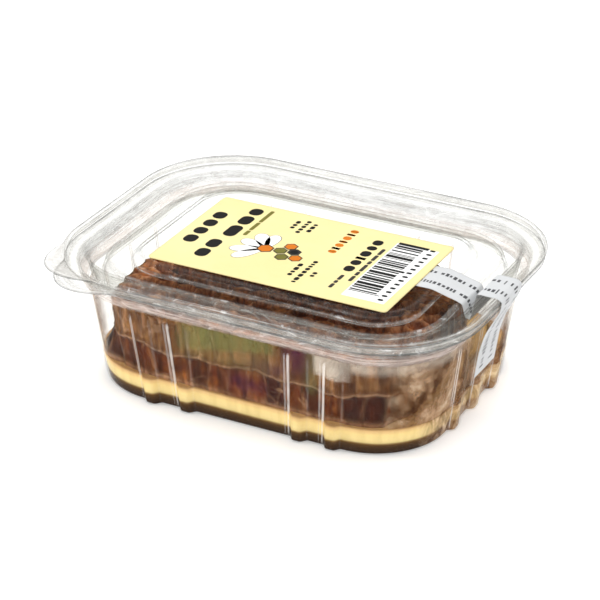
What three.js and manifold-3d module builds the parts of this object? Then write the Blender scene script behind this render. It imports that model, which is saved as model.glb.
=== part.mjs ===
// Piece of natural honeycomb in a clear snap-lid tub, with its label and seal strip.
// Millimetres, +Z up. The origin is the centre of the tub's flat base, +X runs along
// the tub's long side and -Y is the long side below the opening tabs.
import * as THREE from 'three';
import { mergeVertices } from 'three/addons/utils/BufferGeometryUtils.js';
import Module from 'manifold-3d';

const wasm = await Module();
wasm.setup();

// ---------------------------------------------------------------- dimensions
const RIM_A = 57.5;          // half length of the lid's outer lip
const RIM_B = 44.0;          // half width of the lid's outer lip
const RIM_R = 26.5;          // corner radius of the lip
const LID_TOP = 36.0;        // height of the lid's flange
const PANEL_TOP = 34.6;      // height of the raised panel that carries the label
const MOAT_TOP = 32.2;       // height of the flat band around the raised panel
const TROUGH_TOP = 28.7;     // lowest level of the plug groove, on its upper side
const FILM = 0.5;            // thickness of the thermoformed sheet
const FLANGE_TOP = 33.2;     // height of the tub's flange
const SHOULDER_Z = 27.4;     // where the tub wall steps out towards its flange
const BASE_A = 47.6;         // half length of the tub wall at its foot
const BASE_B = 35.25;        // half width of the tub wall at its foot
const BASE_R = 19.7;         // corner radius of the tub wall at its foot
const DRAFT_A = 0.1443;      // outward run of the end walls for each mm of height
const DRAFT_B = 0.113;       // outward run of the long walls for each mm of height
const DRAFT_R = 0.056;       // growth of the corner radius for each mm of height
const FLOOR = 0.6;           // thickness of the tub's floor
const RIB_PROUD = 1.3;       // how far the stiffening ribs stand out of the walls
const RIB_TOP = 25.4;        // where the ribs run out below the shoulder
const LONG_RIBS = [-0.91, -0.55, 0.58, 0.91];   // rib places along a long wall's straight run
const END_RIBS = [-0.77, 0, 0.77];            // rib places along an end wall's straight run
const RIB_HALF = [0.09, 0.15];               // half widths of those ribs, in the same measure
const TAB_OUT = 5.3;         // how far each opening tab stands out of its flange
const TAB_HALF = 28;         // half angle that a tab takes on the corner, degrees
const LID_TAB_AT = -131.5;   // direction of the lid's tab from the corner centre, degrees
const TUB_TAB_AT = -119;     // direction of the tub's tab
const GAP = 0.3;             // clearance kept between neighbouring pieces

const CELL = 5.3;            // pitch of the comb's cells
const CELL_TURN = 4;         // turn of the rows of cells against the tub's long side, degrees
const CELL_DIP = 1.7;        // depth of the open cell mouths below their rims
const COMB_TOP = 27.2;       // height of the upper cell rims
const COMB_MID = 16.6;       // height of the midrib, where the two layers of cells meet
const COMB_LOW = 6.8;        // lower cut edge of the comb
const FLUTE = 0.55;          // depth of the half cells left along the cut sides
const HONEY_TOP = 7.6;       // level of the honey that has drained to the floor

const LABEL = { x0: -32.4, x1: 34.7, y0: -24.6, y1: 16.4, r: 1.2, thick: 0.25 };
const STRIP = { y0: -7.4, y1: 5.0, thick: 0.25 };

// ---------------------------------------------------------------- helpers
const rad = (d) => (d * Math.PI) / 180;

// Stations of a rounded rectangle, counter-clockwise seen from above. Each has the place on
// its straight run or its angle on the corner, so that rings of different size match.
function stations({ longRuns = [], endRuns = [], corner = 8, tabCorner = 14 }) {
  const list = [];
  const arc = (cx, cy, from, n, open) => {
    for (let i = open ? 1 : 0; i <= (open ? n - 1 : n); i++) {
      list.push({ cx, cy, ang: from + (90 * i) / n });
    }
  };
  const run = (side, fr) => fr.forEach((f) => list.push({ side, f }));
  const open = longRuns.length > 0;
  const up = [...longRuns];
  const down = [...longRuns].reverse();
  const endUp = [...endRuns];
  const endDown = [...endRuns].reverse();
  if (open) run('front', up);
  arc(1, -1, -90, corner, open);
  if (open) run('right', endUp);
  arc(1, 1, 0, corner, open);
  if (open) run('back', down);
  arc(-1, 1, 90, corner, open);
  if (open) run('left', endDown);
  arc(-1, -1, 180, tabCorner, open);
  return list;
}

// Full-height bump of the nearest rib at place f of a straight run.
function ribAt(f, places, half) {
  let best = 0;
  for (const p of places) best = Math.max(best, 1 - Math.abs(f - p) / half);
  return Math.max(0, best);
}

// Smooth lobe of an opening tab at a corner angle.
function lobe(ang, at) {
  let d = ang - (at + 360);
  while (d > 180) d -= 360;
  while (d < -180) d += 360;
  const t = d / TAB_HALF;
  return Math.abs(t) >= 1 ? 0 : Math.pow(1 - t * t, 1.5);
}

// One ring: half length a, half width b, corner radius r, height z, rib share and tab.
function ring(st, [a, b, r, z, rib = 0, tab = null]) {
  return st.map((s) => {
    if (s.side) {
      const long = s.side === 'front' || s.side === 'back';
      const run = long ? a - r : b - r;
      const out = rib * RIB_PROUD * (long ? ribAt(s.f, LONG_RIBS, RIB_HALF[0]) : ribAt(s.f, END_RIBS, RIB_HALF[1]));
      if (s.side === 'front') return [s.f * run, -(b + out), z];
      if (s.side === 'back') return [s.f * run, b + out, z];
      if (s.side === 'right') return [a + out, s.f * run, z];
      return [-(a + out), s.f * run, z];
    }
    let rr = r;
    if (tab !== null && s.cx < 0 && s.cy < 0) rr += TAB_OUT * lobe(s.ang, tab);
    return [s.cx * (a - r) + rr * Math.cos(rad(s.ang)), s.cy * (b - r) + rr * Math.sin(rad(s.ang)), z];
  });
}

// Closed solid through a list of rings, with a point closing each end.
function loft(rings, first, last) {
  const n = rings[0].length;
  const pos = [];
  const idx = [];
  rings.forEach((rg) => rg.forEach((p) => pos.push(...p)));
  for (let k = 0; k + 1 < rings.length; k++) {
    for (let i = 0; i < n; i++) {
      const j = (i + 1) % n;
      const A = k * n + i, B = k * n + j, C = (k + 1) * n + j, D = (k + 1) * n + i;
      idx.push(A, B, C, A, C, D);
    }
  }
  const f = pos.length / 3;
  pos.push(...first);
  for (let i = 0; i < n; i++) idx.push(f, (i + 1) % n, i);
  const l = pos.length / 3;
  pos.push(...last);
  const base = (rings.length - 1) * n;
  for (let i = 0; i < n; i++) idx.push(l, base + i, base + ((i + 1) % n));
  const g = new THREE.BufferGeometry();
  g.setAttribute('position', new THREE.Float32BufferAttribute(pos, 3));
  g.setIndex(idx);
  return g;
}

function toManifold(geometry) {
  const g = geometry.clone();
  g.deleteAttribute('normal');
  g.deleteAttribute('uv');
  const m = mergeVertices(g, 1e-4);
  return new wasm.Manifold(new wasm.Mesh({
    numProp: 3,
    vertProperties: new Float32Array(m.attributes.position.array),
    triVerts: new Uint32Array(m.index.array),
  }));
}

function fromManifold(solid) {
  const m = solid.getMesh();
  const pos = new Float32Array(m.numVert * 3);
  for (let i = 0; i < m.numVert; i++) {
    for (let k = 0; k < 3; k++) pos[i * 3 + k] = m.vertProperties[i * m.numProp + k];
  }
  const g = new THREE.BufferGeometry();
  g.setAttribute('position', new THREE.BufferAttribute(pos, 3));
  g.setIndex(Array.from(m.triVerts));
  return g;
}

// ---------------------------------------------------------------- tub
// The wall leans out from a flat base, steps out at a shoulder and ends in a flange whose
// edge carries the lower opening tab. The sheet is one closed shell, open at the top.
const wall = (z, inset = 0) => [
  BASE_A + DRAFT_A * z - inset, BASE_B + DRAFT_B * z - inset, BASE_R + DRAFT_R * z - inset, z,
];
function tubGeometry() {
  const longRuns = [];
  LONG_RIBS.forEach((p) => longRuns.push(p - RIB_HALF[0], p, p + RIB_HALF[0]));
  longRuns.splice(6, 0, 0);
  const endRuns = [-1];
  END_RIBS.forEach((p) => endRuns.push(p - RIB_HALF[1], p, p + RIB_HALF[1]));
  endRuns.push(1);
  const st = stations({ longRuns: [-1.0, ...longRuns.slice(1, -1), 1.0], endRuns, corner: 6, tabCorner: 14 });
  const inner = (z, extra = 0) => wall(z, FILM + extra);
  const rings = [
    [...wall(0, 0.35).slice(0, 3), 0, 1.15],
    [...wall(0.7), 1.3],
    [...wall(3.2), 1.2],
    [...wall(22), 0.8],
    [...wall(RIB_TOP), 0],
    [...wall(SHOULDER_Z), 0],
    [...wall(28.2, -1.3), 0],
    [...wall(32.2, -1.3), 0],
    [...wall(FLANGE_TOP - FILM, -1.9), 0],
    [57.0, 43.5, 26.0, FLANGE_TOP - FILM, 0, TUB_TAB_AT],
    [57.0, 43.5, 26.0, FLANGE_TOP, 0, TUB_TAB_AT],
    [...wall(FLANGE_TOP, -1.2), 0],
    [...inner(32.4, -1.3), 0],
    [...inner(28.6, -1.3), 0],
    [...inner(SHOULDER_Z + 0.4), 0],
    [...inner(RIB_TOP), 0],
    [...inner(22), 0.8],
    [...inner(3.2), 1.2],
    [...inner(1.3, 0.3), 1.25],
    [...inner(FLOOR, 0.9).slice(0, 3), FLOOR, 1.1],
  ];
  return loft(rings.map((r) => ring(st, r)), [0, 0, 0], [0, 0, FLOOR]);
}

// ---------------------------------------------------------------- lid
// Profile of the lid from its centre outwards on the upper side, and back on the lower side:
// raised panel, flat band, bead, plug groove, flange, outer lip with the upper tab, skirt.
const LID_UPPER = [
  [38.4, 25.4, 10.6, PANEL_TOP],
  [40.0, 27.6, 11.8, MOAT_TOP],
  [45.2, 31.6, 15.7, MOAT_TOP],
  [46.2, 32.7, 16.7, MOAT_TOP + 0.45],
  [47.0, 33.5, 17.5, MOAT_TOP - 0.2],
  [47.9, 34.6, 18.4, TROUGH_TOP],
  [49.9, 36.5, 20.0, TROUGH_TOP - 0.1],
  [51.3, 37.9, 21.2, LID_TOP - 0.9],
  [52.1, 38.7, 21.8, LID_TOP],
  [56.4, 42.9, 25.5, LID_TOP],
  [56.9, 43.4, 25.9, LID_TOP - 0.6],
];
const LID_LOWER = [
  [56.5, 43.0, 25.5, FLANGE_TOP + 0.4],
  [56.2, 42.7, 25.2, LID_TOP - 0.75],
  [55.8, 42.3, 24.9, LID_TOP - FILM],
  [52.5, 39.1, 22.1, LID_TOP - FILM],
  [51.85, 38.45, 21.7, LID_TOP - 1.2],
  [50.4, 37.0, 20.5, TROUGH_TOP - 0.1 - FILM],
  [47.4, 34.1, 17.9, TROUGH_TOP - 0.1 - FILM],
  [46.5, 33.0, 17.0, MOAT_TOP - 0.6],
  [45.0, 31.4, 15.5, MOAT_TOP - FILM],
  [39.5, 27.1, 11.3, MOAT_TOP - FILM],
  [37.9, 24.9, 10.1, PANEL_TOP - FILM],
];
function lidGeometry() {
  const st = stations({ corner: 8, tabCorner: 16 });
  const rings = [
    ...LID_UPPER.map((r) => [...r]),
    [RIM_A, RIM_B, RIM_R, LID_TOP - 0.7, 0, LID_TAB_AT],
    [RIM_A, RIM_B, RIM_R, LID_TOP - 1.2, 0, LID_TAB_AT],
    [56.9, 43.4, 25.9, LID_TOP - 1.25],
    [57.0, 43.5, 26.0, FLANGE_TOP + 0.4],
    ...LID_LOWER.map((r) => [...r]),
  ];
  const g = loft(rings.map((r) => ring(st, r)).reverse(), [0, 0, PANEL_TOP - FILM], [0, 0, PANEL_TOP]);
  return g;
}

// ---------------------------------------------------------------- comb
// Outline of the cut slab seen from above: a long side against the tub's front wall, ends that
// round with the tub's corners, and a ragged back edge. grow moves it outwards.
const COMB_OUTLINE = [
  [-41.0, -24.5], [-37.0, -31.6], [-28.0, -34.9], [-8.0, -35.2], [14.0, -35.2], [29.0, -34.6],
  [38.6, -31.0], [43.2, -23.0], [43.6, -11.0], [41.4, 2.0], [40.4, 12.0], [36.6, 19.2],
  [24.0, 21.6], [6.0, 20.6], [-14.0, 22.0], [-31.0, 20.0], [-39.4, 13.6], [-40.4, -2.0], [-41.6, -14.0],
];
function combOutline() {
  const curve = new THREE.CatmullRomCurve3(COMB_OUTLINE.map(([x, y]) => new THREE.Vector3(x, y, 0)), true, 'catmullrom', 0.5);
  const length = curve.getLength();
  const n = Math.round(length / CELL) * 2;
  return curve.getSpacedPoints(n).slice(0, n);
}
function combPrism(grow) {
  const pts = combOutline();
  const n = pts.length;
  const levels = [
    { z: COMB_LOW - grow, in: 1.1, flute: 0.5, half: 0, low: true },
    { z: COMB_LOW + 2.2, in: 0.5, flute: 1, half: 0 },
    { z: COMB_MID - 1.0, in: 0.3, flute: 1, half: 0 },
    { z: COMB_MID, in: -0.5, flute: 0, half: 0 },
    { z: COMB_MID + 1.0, in: 0.1, flute: 1, half: 1 },
    { z: COMB_TOP + 3 + grow, in: -0.9, flute: 1, half: 1 },
  ];
  const rings = levels.map((L) => pts.map((p, i) => {
    const q0 = pts[(i + n - 1) % n];
    const q1 = pts[(i + 1) % n];
    const nx = q1.y - q0.y;
    const ny = -(q1.x - q0.x);
    const l = Math.hypot(nx, ny);
    const cut = L.flute * FLUTE * ((i + L.half) % 2 === 0 ? 1 : -1);
    const ragged = 0.35 * Math.sin(i * 1.7) + 0.25 * Math.sin(i * 0.61 + 1);
    const o = grow - L.in + cut + ragged * (p.y > -30 ? 1 : 0.3);
    const dz = L.low ? 0.35 * Math.sin(i * 0.9) + 0.25 * Math.sin(i * 2.3) : 0;
    return [p.x + (nx / l) * o, p.y + (ny / l) * o, L.z + dz];
  }));
  return loft(rings, [0, -7, COMB_LOW - grow], [0, -7, COMB_TOP + 3 + grow]);
}
// Block whose top is a sheet of hexagonal cell mouths that share their rims.
function cellBlock() {
  const R = CELL / Math.sqrt(3);
  const rows = 17, cols = 22;
  const key = new Map();
  const pos = [];
  const idx = [];
  const rimZ = (x, y) => COMB_TOP + 0.3 * Math.sin(x * 0.16 + 0.7) * Math.cos(y * 0.13);
  const vert = (x, y, dip) => {
    const k = `${Math.round((2 * x) / CELL)},${Math.round((4 * (y + 7)) / R)}`;
    if (!key.has(k)) {
      key.set(k, pos.length / 3);
      const c = Math.cos(rad(CELL_TURN)), n = Math.sin(rad(CELL_TURN));
      pos.push(x * c - y * n, x * n + y * c, rimZ(x, y) - dip);
    }
    return key.get(k);
  };
  const edge = new Map();
  const tri = (a, b, c) => {
    idx.push(a, b, c);
    for (const [s, t] of [[a, b], [b, c], [c, a]]) {
      if (edge.has(`${t},${s}`)) edge.delete(`${t},${s}`);
      else edge.set(`${s},${t}`, [s, t]);
    }
  };
  for (let j = -rows / 2; j < rows / 2; j++) {
    for (let i = -cols / 2; i < cols / 2; i++) {
      const odd = Math.abs(Math.round(j - 0.5)) % 2;
      const cx = (i + odd * 0.5) * CELL;
      const cy = j * R * 1.5 - 7;
      const c = vert(cx, cy, CELL_DIP);
      for (let k = 0; k < 6; k++) {
        const a0 = rad(60 * k + 30), a1 = rad(60 * k + 90);
        tri(c, vert(cx + R * Math.cos(a0), cy + R * Math.sin(a0), 0), vert(cx + R * Math.cos(a1), cy + R * Math.sin(a1), 0));
      }
    }
  }
  // walls down from the open border, and a floor fanned from one point
  const lowOf = new Map();
  const low = (v) => {
    if (!lowOf.has(v)) {
      lowOf.set(v, pos.length / 3);
      pos.push(pos[v * 3], pos[v * 3 + 1], 0);
    }
    return lowOf.get(v);
  };
  const border = [...edge.values()];
  const centre = pos.length / 3;
  pos.push(0, -7, 0);
  border.forEach(([s, t]) => {
    const ls = low(s), lt = low(t);
    idx.push(t, s, ls, t, ls, lt, centre, lt, ls);
  });
  const g = new THREE.BufferGeometry();
  g.setAttribute('position', new THREE.Float32BufferAttribute(pos, 3));
  g.setIndex(idx);
  return g;
}
const comb = toManifold(combPrism(0)).intersect(toManifold(cellBlock()));

// ---------------------------------------------------------------- honey
// Honey that has drained to the floor: it fills the tub up to its level, round the comb's foot.
function honeyGeometry() {
  const st = stations({ corner: 8, tabCorner: 8 });
  const fill = (z, extra = 0) => wall(z, FILM + GAP + extra);
  const rings = [
    [...fill(FLOOR + GAP, 1.3).slice(0, 3), FLOOR + GAP],
    [...fill(1.9, 0.25)],
    [...fill(HONEY_TOP)],
  ];
  const pool = toManifold(loft(rings.map((r) => ring(st, r)), [0, 0, FLOOR + GAP], [0, 0, HONEY_TOP]));
  return fromManifold(pool.subtract(toManifold(combPrism(GAP + 0.05))));
}

// ---------------------------------------------------------------- label and seal strip
function labelGeometry() {
  const { x0, x1, y0, y1, r, thick } = LABEL;
  const s = new THREE.Shape();
  s.moveTo(x0 + r, y0);
  s.lineTo(x1 - r, y0);
  s.absarc(x1 - r, y0 + r, r, -Math.PI / 2, 0, false);
  s.lineTo(x1, y1 - r);
  s.absarc(x1 - r, y1 - r, r, 0, Math.PI / 2, false);
  s.lineTo(x0 + r, y1);
  s.absarc(x0 + r, y1 - r, r, Math.PI / 2, Math.PI, false);
  s.lineTo(x0, y0 + r);
  s.absarc(x0 + r, y0 + r, r, Math.PI, Math.PI * 1.5, false);
  const g = new THREE.ExtrudeGeometry(s, { depth: thick, bevelEnabled: false, curveSegments: 3 });
  g.translate(0, 0, PANEL_TOP + GAP);
  return g;
}
// The strip starts at the label's end, spans the flat band, dips into the groove and rises over
// the flange, hangs off the lip and ends on the end wall's middle rib.
const STRIP_PATH = [
  [LABEL.x1 + GAP, PANEL_TOP + GAP], [38.8, PANEL_TOP + GAP], [42.6, PANEL_TOP - 0.7], [46.3, MOAT_TOP + 0.5 + GAP],
  [47.3, MOAT_TOP - 0.1 + GAP], [48.3, TROUGH_TOP + GAP + 0.1], [49.6, TROUGH_TOP + GAP + 0.1],
  [50.95, LID_TOP - 0.6], [51.9, LID_TOP + GAP], [56.5, LID_TOP + GAP], [57.3, LID_TOP - 0.2],
  [57.95, LID_TOP - 0.75], [57.9, LID_TOP - 1.5], [57.4, FLANGE_TOP - 0.9], [53.6, 25.4], [52.6, 21.5], [51.15, 12.6],
];
function stripGeometry() {
  const t = STRIP.thick;
  const n = STRIP_PATH.length;
  const side = STRIP_PATH.map(([x, z], i) => {
    const p = STRIP_PATH[Math.max(0, i - 1)];
    const q = STRIP_PATH[Math.min(n - 1, i + 1)];
    const a = new THREE.Vector2(x - p[0], z - p[1]);
    const b = new THREE.Vector2(q[0] - x, q[1] - z);
    if (i === 0) a.copy(b);
    if (i === n - 1) b.copy(a);
    a.normalize(); b.normalize();
    const m = new THREE.Vector2(-(a.y + b.y), a.x + b.x).normalize();
    const k = t / Math.max(0.5, m.dot(new THREE.Vector2(-a.y, a.x)));
    return [x + m.x * k, z + m.y * k];
  });
  const s = new THREE.Shape();
  STRIP_PATH.forEach(([x, z], i) => (i ? s.lineTo(x, z) : s.moveTo(x, z)));
  [...side].reverse().forEach(([x, z]) => s.lineTo(x, z));
  s.closePath();
  const g = new THREE.ExtrudeGeometry(s, { depth: STRIP.y1 - STRIP.y0, bevelEnabled: false });
  g.rotateX(Math.PI / 2);           // the section stands in XZ and runs along -Y
  g.translate(0, STRIP.y1, 0);
  return g;
}

// ---------------------------------------------------------------- the object
const group = new THREE.Group();
function add(name, geometry, color, roughness, extra = {}) {
  const g = geometry.index ? geometry.toNonIndexed() : geometry;
  g.computeVertexNormals();
  const mesh = new THREE.Mesh(g, new THREE.MeshStandardMaterial({ color, roughness, metalness: 0, ...extra }));
  mesh.name = name;
  group.add(mesh);
}
const clear = { transparent: true, opacity: 0.25 };
add('tub', tubGeometry(), 0xe9eeec, 0.08, clear);
add('lid', lidGeometry(), 0xe9eeec, 0.08, clear);
add('label', labelGeometry(), 0xf8f0b4, 0.6);
add('seal_strip', stripGeometry(), 0xf5f5f2, 0.5);
add('comb', fromManifold(comb), 0x6a3418, 0.45);
add('honey', honeyGeometry(), 0xe0a640, 0.1);

export default group;
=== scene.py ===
import math
import random

import bpy
import numpy as np
from mathutils import Matrix, Vector


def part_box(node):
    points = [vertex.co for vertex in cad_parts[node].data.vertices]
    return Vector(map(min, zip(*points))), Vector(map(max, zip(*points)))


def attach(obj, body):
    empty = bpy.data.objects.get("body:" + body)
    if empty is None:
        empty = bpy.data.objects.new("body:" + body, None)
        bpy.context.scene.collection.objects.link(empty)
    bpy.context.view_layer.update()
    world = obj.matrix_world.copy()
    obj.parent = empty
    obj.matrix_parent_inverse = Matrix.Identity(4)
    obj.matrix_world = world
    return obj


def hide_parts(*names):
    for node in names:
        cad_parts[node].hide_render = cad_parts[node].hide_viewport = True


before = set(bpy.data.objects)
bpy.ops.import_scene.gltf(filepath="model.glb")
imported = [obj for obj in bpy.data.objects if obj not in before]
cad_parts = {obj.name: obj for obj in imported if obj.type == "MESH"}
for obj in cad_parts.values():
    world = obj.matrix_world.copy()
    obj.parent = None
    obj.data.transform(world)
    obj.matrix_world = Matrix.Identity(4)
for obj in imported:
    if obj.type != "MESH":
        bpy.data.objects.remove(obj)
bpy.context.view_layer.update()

MM = 0.001
rng = random.Random(11)

# ------------------------------------------------------------------ sizes (mm)
tub_lo, tub_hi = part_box("tub")
lid_lo, lid_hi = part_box("lid")
RIM_A = lid_hi[0] / MM            # 57.5
RIM_B = lid_hi[1] / MM            # 44.0
RIM_R = 26.5
LID_TOP = lid_hi[2] / MM          # 36.0
PANEL_TOP, MOAT_TOP, TROUGH_TOP = LID_TOP - 1.4, LID_TOP - 3.8, LID_TOP - 7.3
FLANGE_TOP = tub_hi[2] / MM       # 33.2
FILM, FLOOR = 0.5, 0.6
SHOULDER_Z, RIB_TOP, RIB_PROUD = 27.4, 25.4, 1.3
BASE_A, BASE_B, BASE_R = 47.6, 35.25, 19.7
DRAFT_A, DRAFT_B, DRAFT_R = 0.1443, 0.113, 0.056
LONG_RIBS, END_RIBS, RIB_HALF = (-0.91, -0.55, 0.58, 0.91), (-0.77, 0.0, 0.77), (0.09, 0.15)
TAB_OUT, TAB_HALF, LID_TAB_AT, TUB_TAB_AT = 5.3, 28.0, -131.5, -119.0
HONEY_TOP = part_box("honey")[1][2] / MM
CELL = 5.3
COMB_TOP, COMB_MID, COMB_LOW = 27.2, 16.6, 6.8


# ------------------------------------------------------------------ helpers
def new_object(name, verts, faces, smooth=True, uv=None, attrs=None):
    """verts (n,3) in mm, faces (m,4) or (m,3) arrays or a list."""
    me = bpy.data.meshes.new(name)
    me.from_pydata((np.asarray(verts, dtype=float) * MM).tolist(), [], [list(map(int, f)) for f in faces])
    if smooth:
        me.polygons.foreach_set("use_smooth", np.ones(len(me.polygons), dtype=bool))
    if uv is not None:
        layer = me.uv_layers.new(name="UVMap")
        li = np.zeros(len(me.loops), dtype=np.int32)
        me.loops.foreach_get("vertex_index", li)
        layer.data.foreach_set("uv", np.asarray(uv, dtype=np.float32)[li].ravel())
    for k, v in (attrs or {}).items():
        a = me.attributes.new(k, "FLOAT", "POINT")
        a.data.foreach_set("value", np.asarray(v, dtype=np.float32))
    me.validate()
    me.update()
    ob = bpy.data.objects.new(name, me)
    bpy.context.scene.collection.objects.link(ob)
    return ob


def param_ring(n_corner=40, n_long=120, n_end=90, n_tab=64):
    """Stations of a rounded rectangle: (kind, cx, cy, ang or fraction)."""
    st = []

    def arc(cx, cy, a0, n):
        for i in range(1, n):
            st.append(("c", cx, cy, a0 + 90.0 * i / n))

    def run(side, n, rev=False):
        places, half = (LONG_RIBS, RIB_HALF[0]) if side in ("front", "back") else (END_RIBS, RIB_HALF[1])
        length = 28.96 if side in ("front", "back") else 16.23
        fr = np.linspace(-1, 1, n)
        if n > 60:
            marks_ = [p + d for p in places for d in (-half, -half - 1.0 / length, half)]
            fr = np.unique(np.clip(np.concatenate([fr, marks_]), -1, 1))
        for f in (fr[::-1] if rev else fr):
            st.append((side, 0, 0, float(f)))

    run("front", n_long)
    arc(1, -1, -90, n_corner)
    run("right", n_end)
    arc(1, 1, 0, n_corner)
    run("back", n_long, True)
    arc(-1, 1, 90, n_corner)
    run("left", n_end, True)
    arc(-1, -1, 180, n_tab)
    return st


def rib_at(f, places, half):
    """Flat-topped rib with soft flanks."""
    best = 0.0
    for p in places:
        t = abs(f - p) / half
        if t < 1:
            best = max(best, min(1.0, max(0.0, (1 - t) / 0.62)))
    return best * best * (3 - 2 * best)


def lobe(ang, at):
    d = ang - (at + 360)
    while d > 180:
        d -= 360
    while d < -180:
        d += 360
    t = d / TAB_HALF
    return 0.0 if abs(t) >= 1 else (1 - t * t) ** 1.5


class Ringer:
    def __init__(self, st):
        self.n = len(st)
        self.kind = np.array([{"c": 0, "front": 1, "right": 2, "back": 3, "left": 4}[s[0]] for s in st])
        self.cx = np.array([s[1] for s in st], float)
        self.cy = np.array([s[2] for s in st], float)
        self.v = np.array([s[3] for s in st], float)
        self.rib = np.array([
            rib_at(s[3], LONG_RIBS, RIB_HALF[0]) if s[0] in ("front", "back")
            else rib_at(s[3], END_RIBS, RIB_HALF[1]) if s[0] in ("right", "left") else 0.0 for s in st])
        # distance in mm from the fold at a rib's near edge, from the faint fold beside it, and from its far edge
        def fold(offset, far):
            out = []
            for q in st:
                if q[0] == "c":
                    out.append(3.0)
                    continue
                long_ = q[0] in ("front", "back")
                places, half, length = (LONG_RIBS, RIB_HALF[0], 28.96) if long_ else (END_RIBS, RIB_HALF[1], 16.23)
                out.append(min(3.0, min(abs(q[3] - (p + (half if far else -half) + offset / length)) * length for p in places)))
            return np.array(out)
        self.folds = {"fold_near": fold(0.0, False), "fold_faint": fold(-1.0, False), "fold_far": fold(0.0, True)}
        lobe_of = lambda at: np.array([lobe(s[3], at) if s[0] == "c" and s[1] < 0 and s[2] < 0 else 0.0 for s in st])
        self.lobe = {0: np.zeros(self.n), 1: lobe_of(LID_TAB_AT), 2: lobe_of(TUB_TAB_AT)}

    def ring(self, a, b, r, z, rib=0.0, lid_tab=0.0, tub_tab=0.0):
        out = np.zeros((self.n, 3))
        k = self.kind
        proud = rib * RIB_PROUD * self.rib
        c = k == 0
        ang = np.radians(self.v)
        rr = r + TAB_OUT * (lid_tab * self.lobe[1] + tub_tab * self.lobe[2])
        out[c, 0] = (self.cx * (a - r) + rr * np.cos(ang))[c]
        out[c, 1] = (self.cy * (b - r) + rr * np.sin(ang))[c]
        m = k == 1
        out[m, 0] = self.v[m] * (a - r); out[m, 1] = -(b + proud[m])
        m = k == 3
        out[m, 0] = self.v[m] * (a - r); out[m, 1] = b + proud[m]
        m = k == 2
        out[m, 0] = a + proud[m]; out[m, 1] = self.v[m] * (b - r)
        m = k == 4
        out[m, 0] = -(a + proud[m]); out[m, 1] = self.v[m] * (b - r)
        out[:, 2] = z
        return out


def soften(rows, steps=2, keep=0.22):
    """Rounds the folds of an open profile by corner cutting. Rows are parameter lists."""
    P = np.array(rows, float)
    for _ in range(steps):
        out = [P[0]]
        for i in range(len(P) - 1):
            out.append(P[i] * (1 - keep) + P[i + 1] * keep)
            out.append(P[i] * keep + P[i + 1] * (1 - keep))
        out.append(P[-1])
        P = np.array(out)
    return P


def loft(name, ringer, rows, first, last, painted_haze=None, edge_shade_of=None, folds=False):
    n = ringer.n
    rings = [ringer.ring(*r) for r in rows]
    V = np.vstack(rings + [np.array([first]), np.array([last])])
    m = len(rings)
    i = np.arange(n); j = (i + 1) % n
    faces = []
    for k in range(m - 1):
        faces.append(np.stack([k * n + i, k * n + j, (k + 1) * n + j, (k + 1) * n + i], 1))
    F = np.vstack(faces).tolist()
    f0 = m * n
    F += [[f0, int(b), int(a)] for a, b in zip(i, j)]
    base = (m - 1) * n
    F += [[f0 + 1, int(base + a), int(base + b)] for a, b in zip(i, j)]
    prof = np.concatenate([[0], np.cumsum([np.hypot(rows[k + 1][0] - rows[k][0], rows[k + 1][3] - rows[k][3]) for k in range(m - 1)])])
    d = np.linalg.norm(np.diff(np.vstack([rings[0], rings[0][:1]]), axis=0), axis=1)
    u = np.concatenate([[0], np.cumsum(d)])[:n]
    uv = np.zeros((len(V), 2))
    for k in range(m):
        uv[k * n:(k + 1) * n, 0] = u / 100.0
        uv[k * n:(k + 1) * n, 1] = prof[k] / 100.0
    uv[f0] = (0, 0); uv[f0 + 1] = (0, prof[-1] / 100.0)
    attrs = None
    if painted_haze is not None:
        w = np.array([painted_haze(r) for r in rows])
        near = np.clip((14.0 - V[:m * n, 1]) / 40.0, 0, 1)        # the painted haze on the rim is stronger towards the front, on the side of the tabs
        near = 0.80 + 0.20 * near * near * (3 - 2 * near)
        attrs = {"painted_haze": np.concatenate([np.repeat(w, n) * near, [w[0], w[-1]]])}
        e = np.array([edge_shade_of(r) if edge_shade_of else 0.0 for r in rows])
        attrs["painted_edge_shade"] = np.concatenate([np.repeat(e, n), [0, 0]])
    if folds:
        for k, v in ringer.folds.items():
            attrs[k] = np.concatenate([np.tile(v, m), [3.0, 3.0]])
    return new_object(name, V, F, uv=uv, attrs=attrs)


# ------------------------------------------------------------------ node helpers
def material(name):
    m = bpy.data.materials.new(name)
    m.use_nodes = True
    nt = m.node_tree
    nt.nodes.clear()
    out = nt.nodes.new("ShaderNodeOutputMaterial")
    return m, nt, out


def node(nt, kind, **sets):
    n = nt.nodes.new(kind)
    for k, v in sets.items():
        if k.startswith("in_"):
            n.inputs[k[3:].replace("_", " ")].default_value = v
        else:
            setattr(n, k, v)
    return n


def ramp(nt, fac, stops, interpolation="LINEAR"):
    r = nt.nodes.new("ShaderNodeValToRGB")
    r.color_ramp.interpolation = interpolation
    els = r.color_ramp.elements
    while len(els) > 1:
        els.remove(els[-1])
    els[0].position, els[0].color = stops[0][0], (*stops[0][1], 1)
    for p, c in stops[1:]:
        e = els.new(p)
        e.color = (*c, 1)
    nt.links.new(fac, r.inputs[0])
    return r.outputs[0]


def mix_rgb(nt, fac, a, b, blend="MIX"):
    m = nt.nodes.new("ShaderNodeMix")
    m.data_type = "RGBA"
    m.blend_type = blend
    for sock, val in ((m.inputs[0], fac), (m.inputs[6], a), (m.inputs[7], b)):
        if hasattr(val, "is_output"):
            nt.links.new(val, sock)
        elif isinstance(val, (int, float)):
            sock.default_value = val
        else:
            sock.default_value = (*val, 1)
    return m.outputs[2]


def math_node(nt, op, a, b=0.5, clamp=False):
    m = nt.nodes.new("ShaderNodeMath")
    m.operation = op
    m.use_clamp = clamp
    for i, v in enumerate((a, b)):
        if hasattr(v, "is_output"):
            nt.links.new(v, m.inputs[i])
        else:
            m.inputs[i].default_value = v
    return m.outputs[0]


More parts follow.
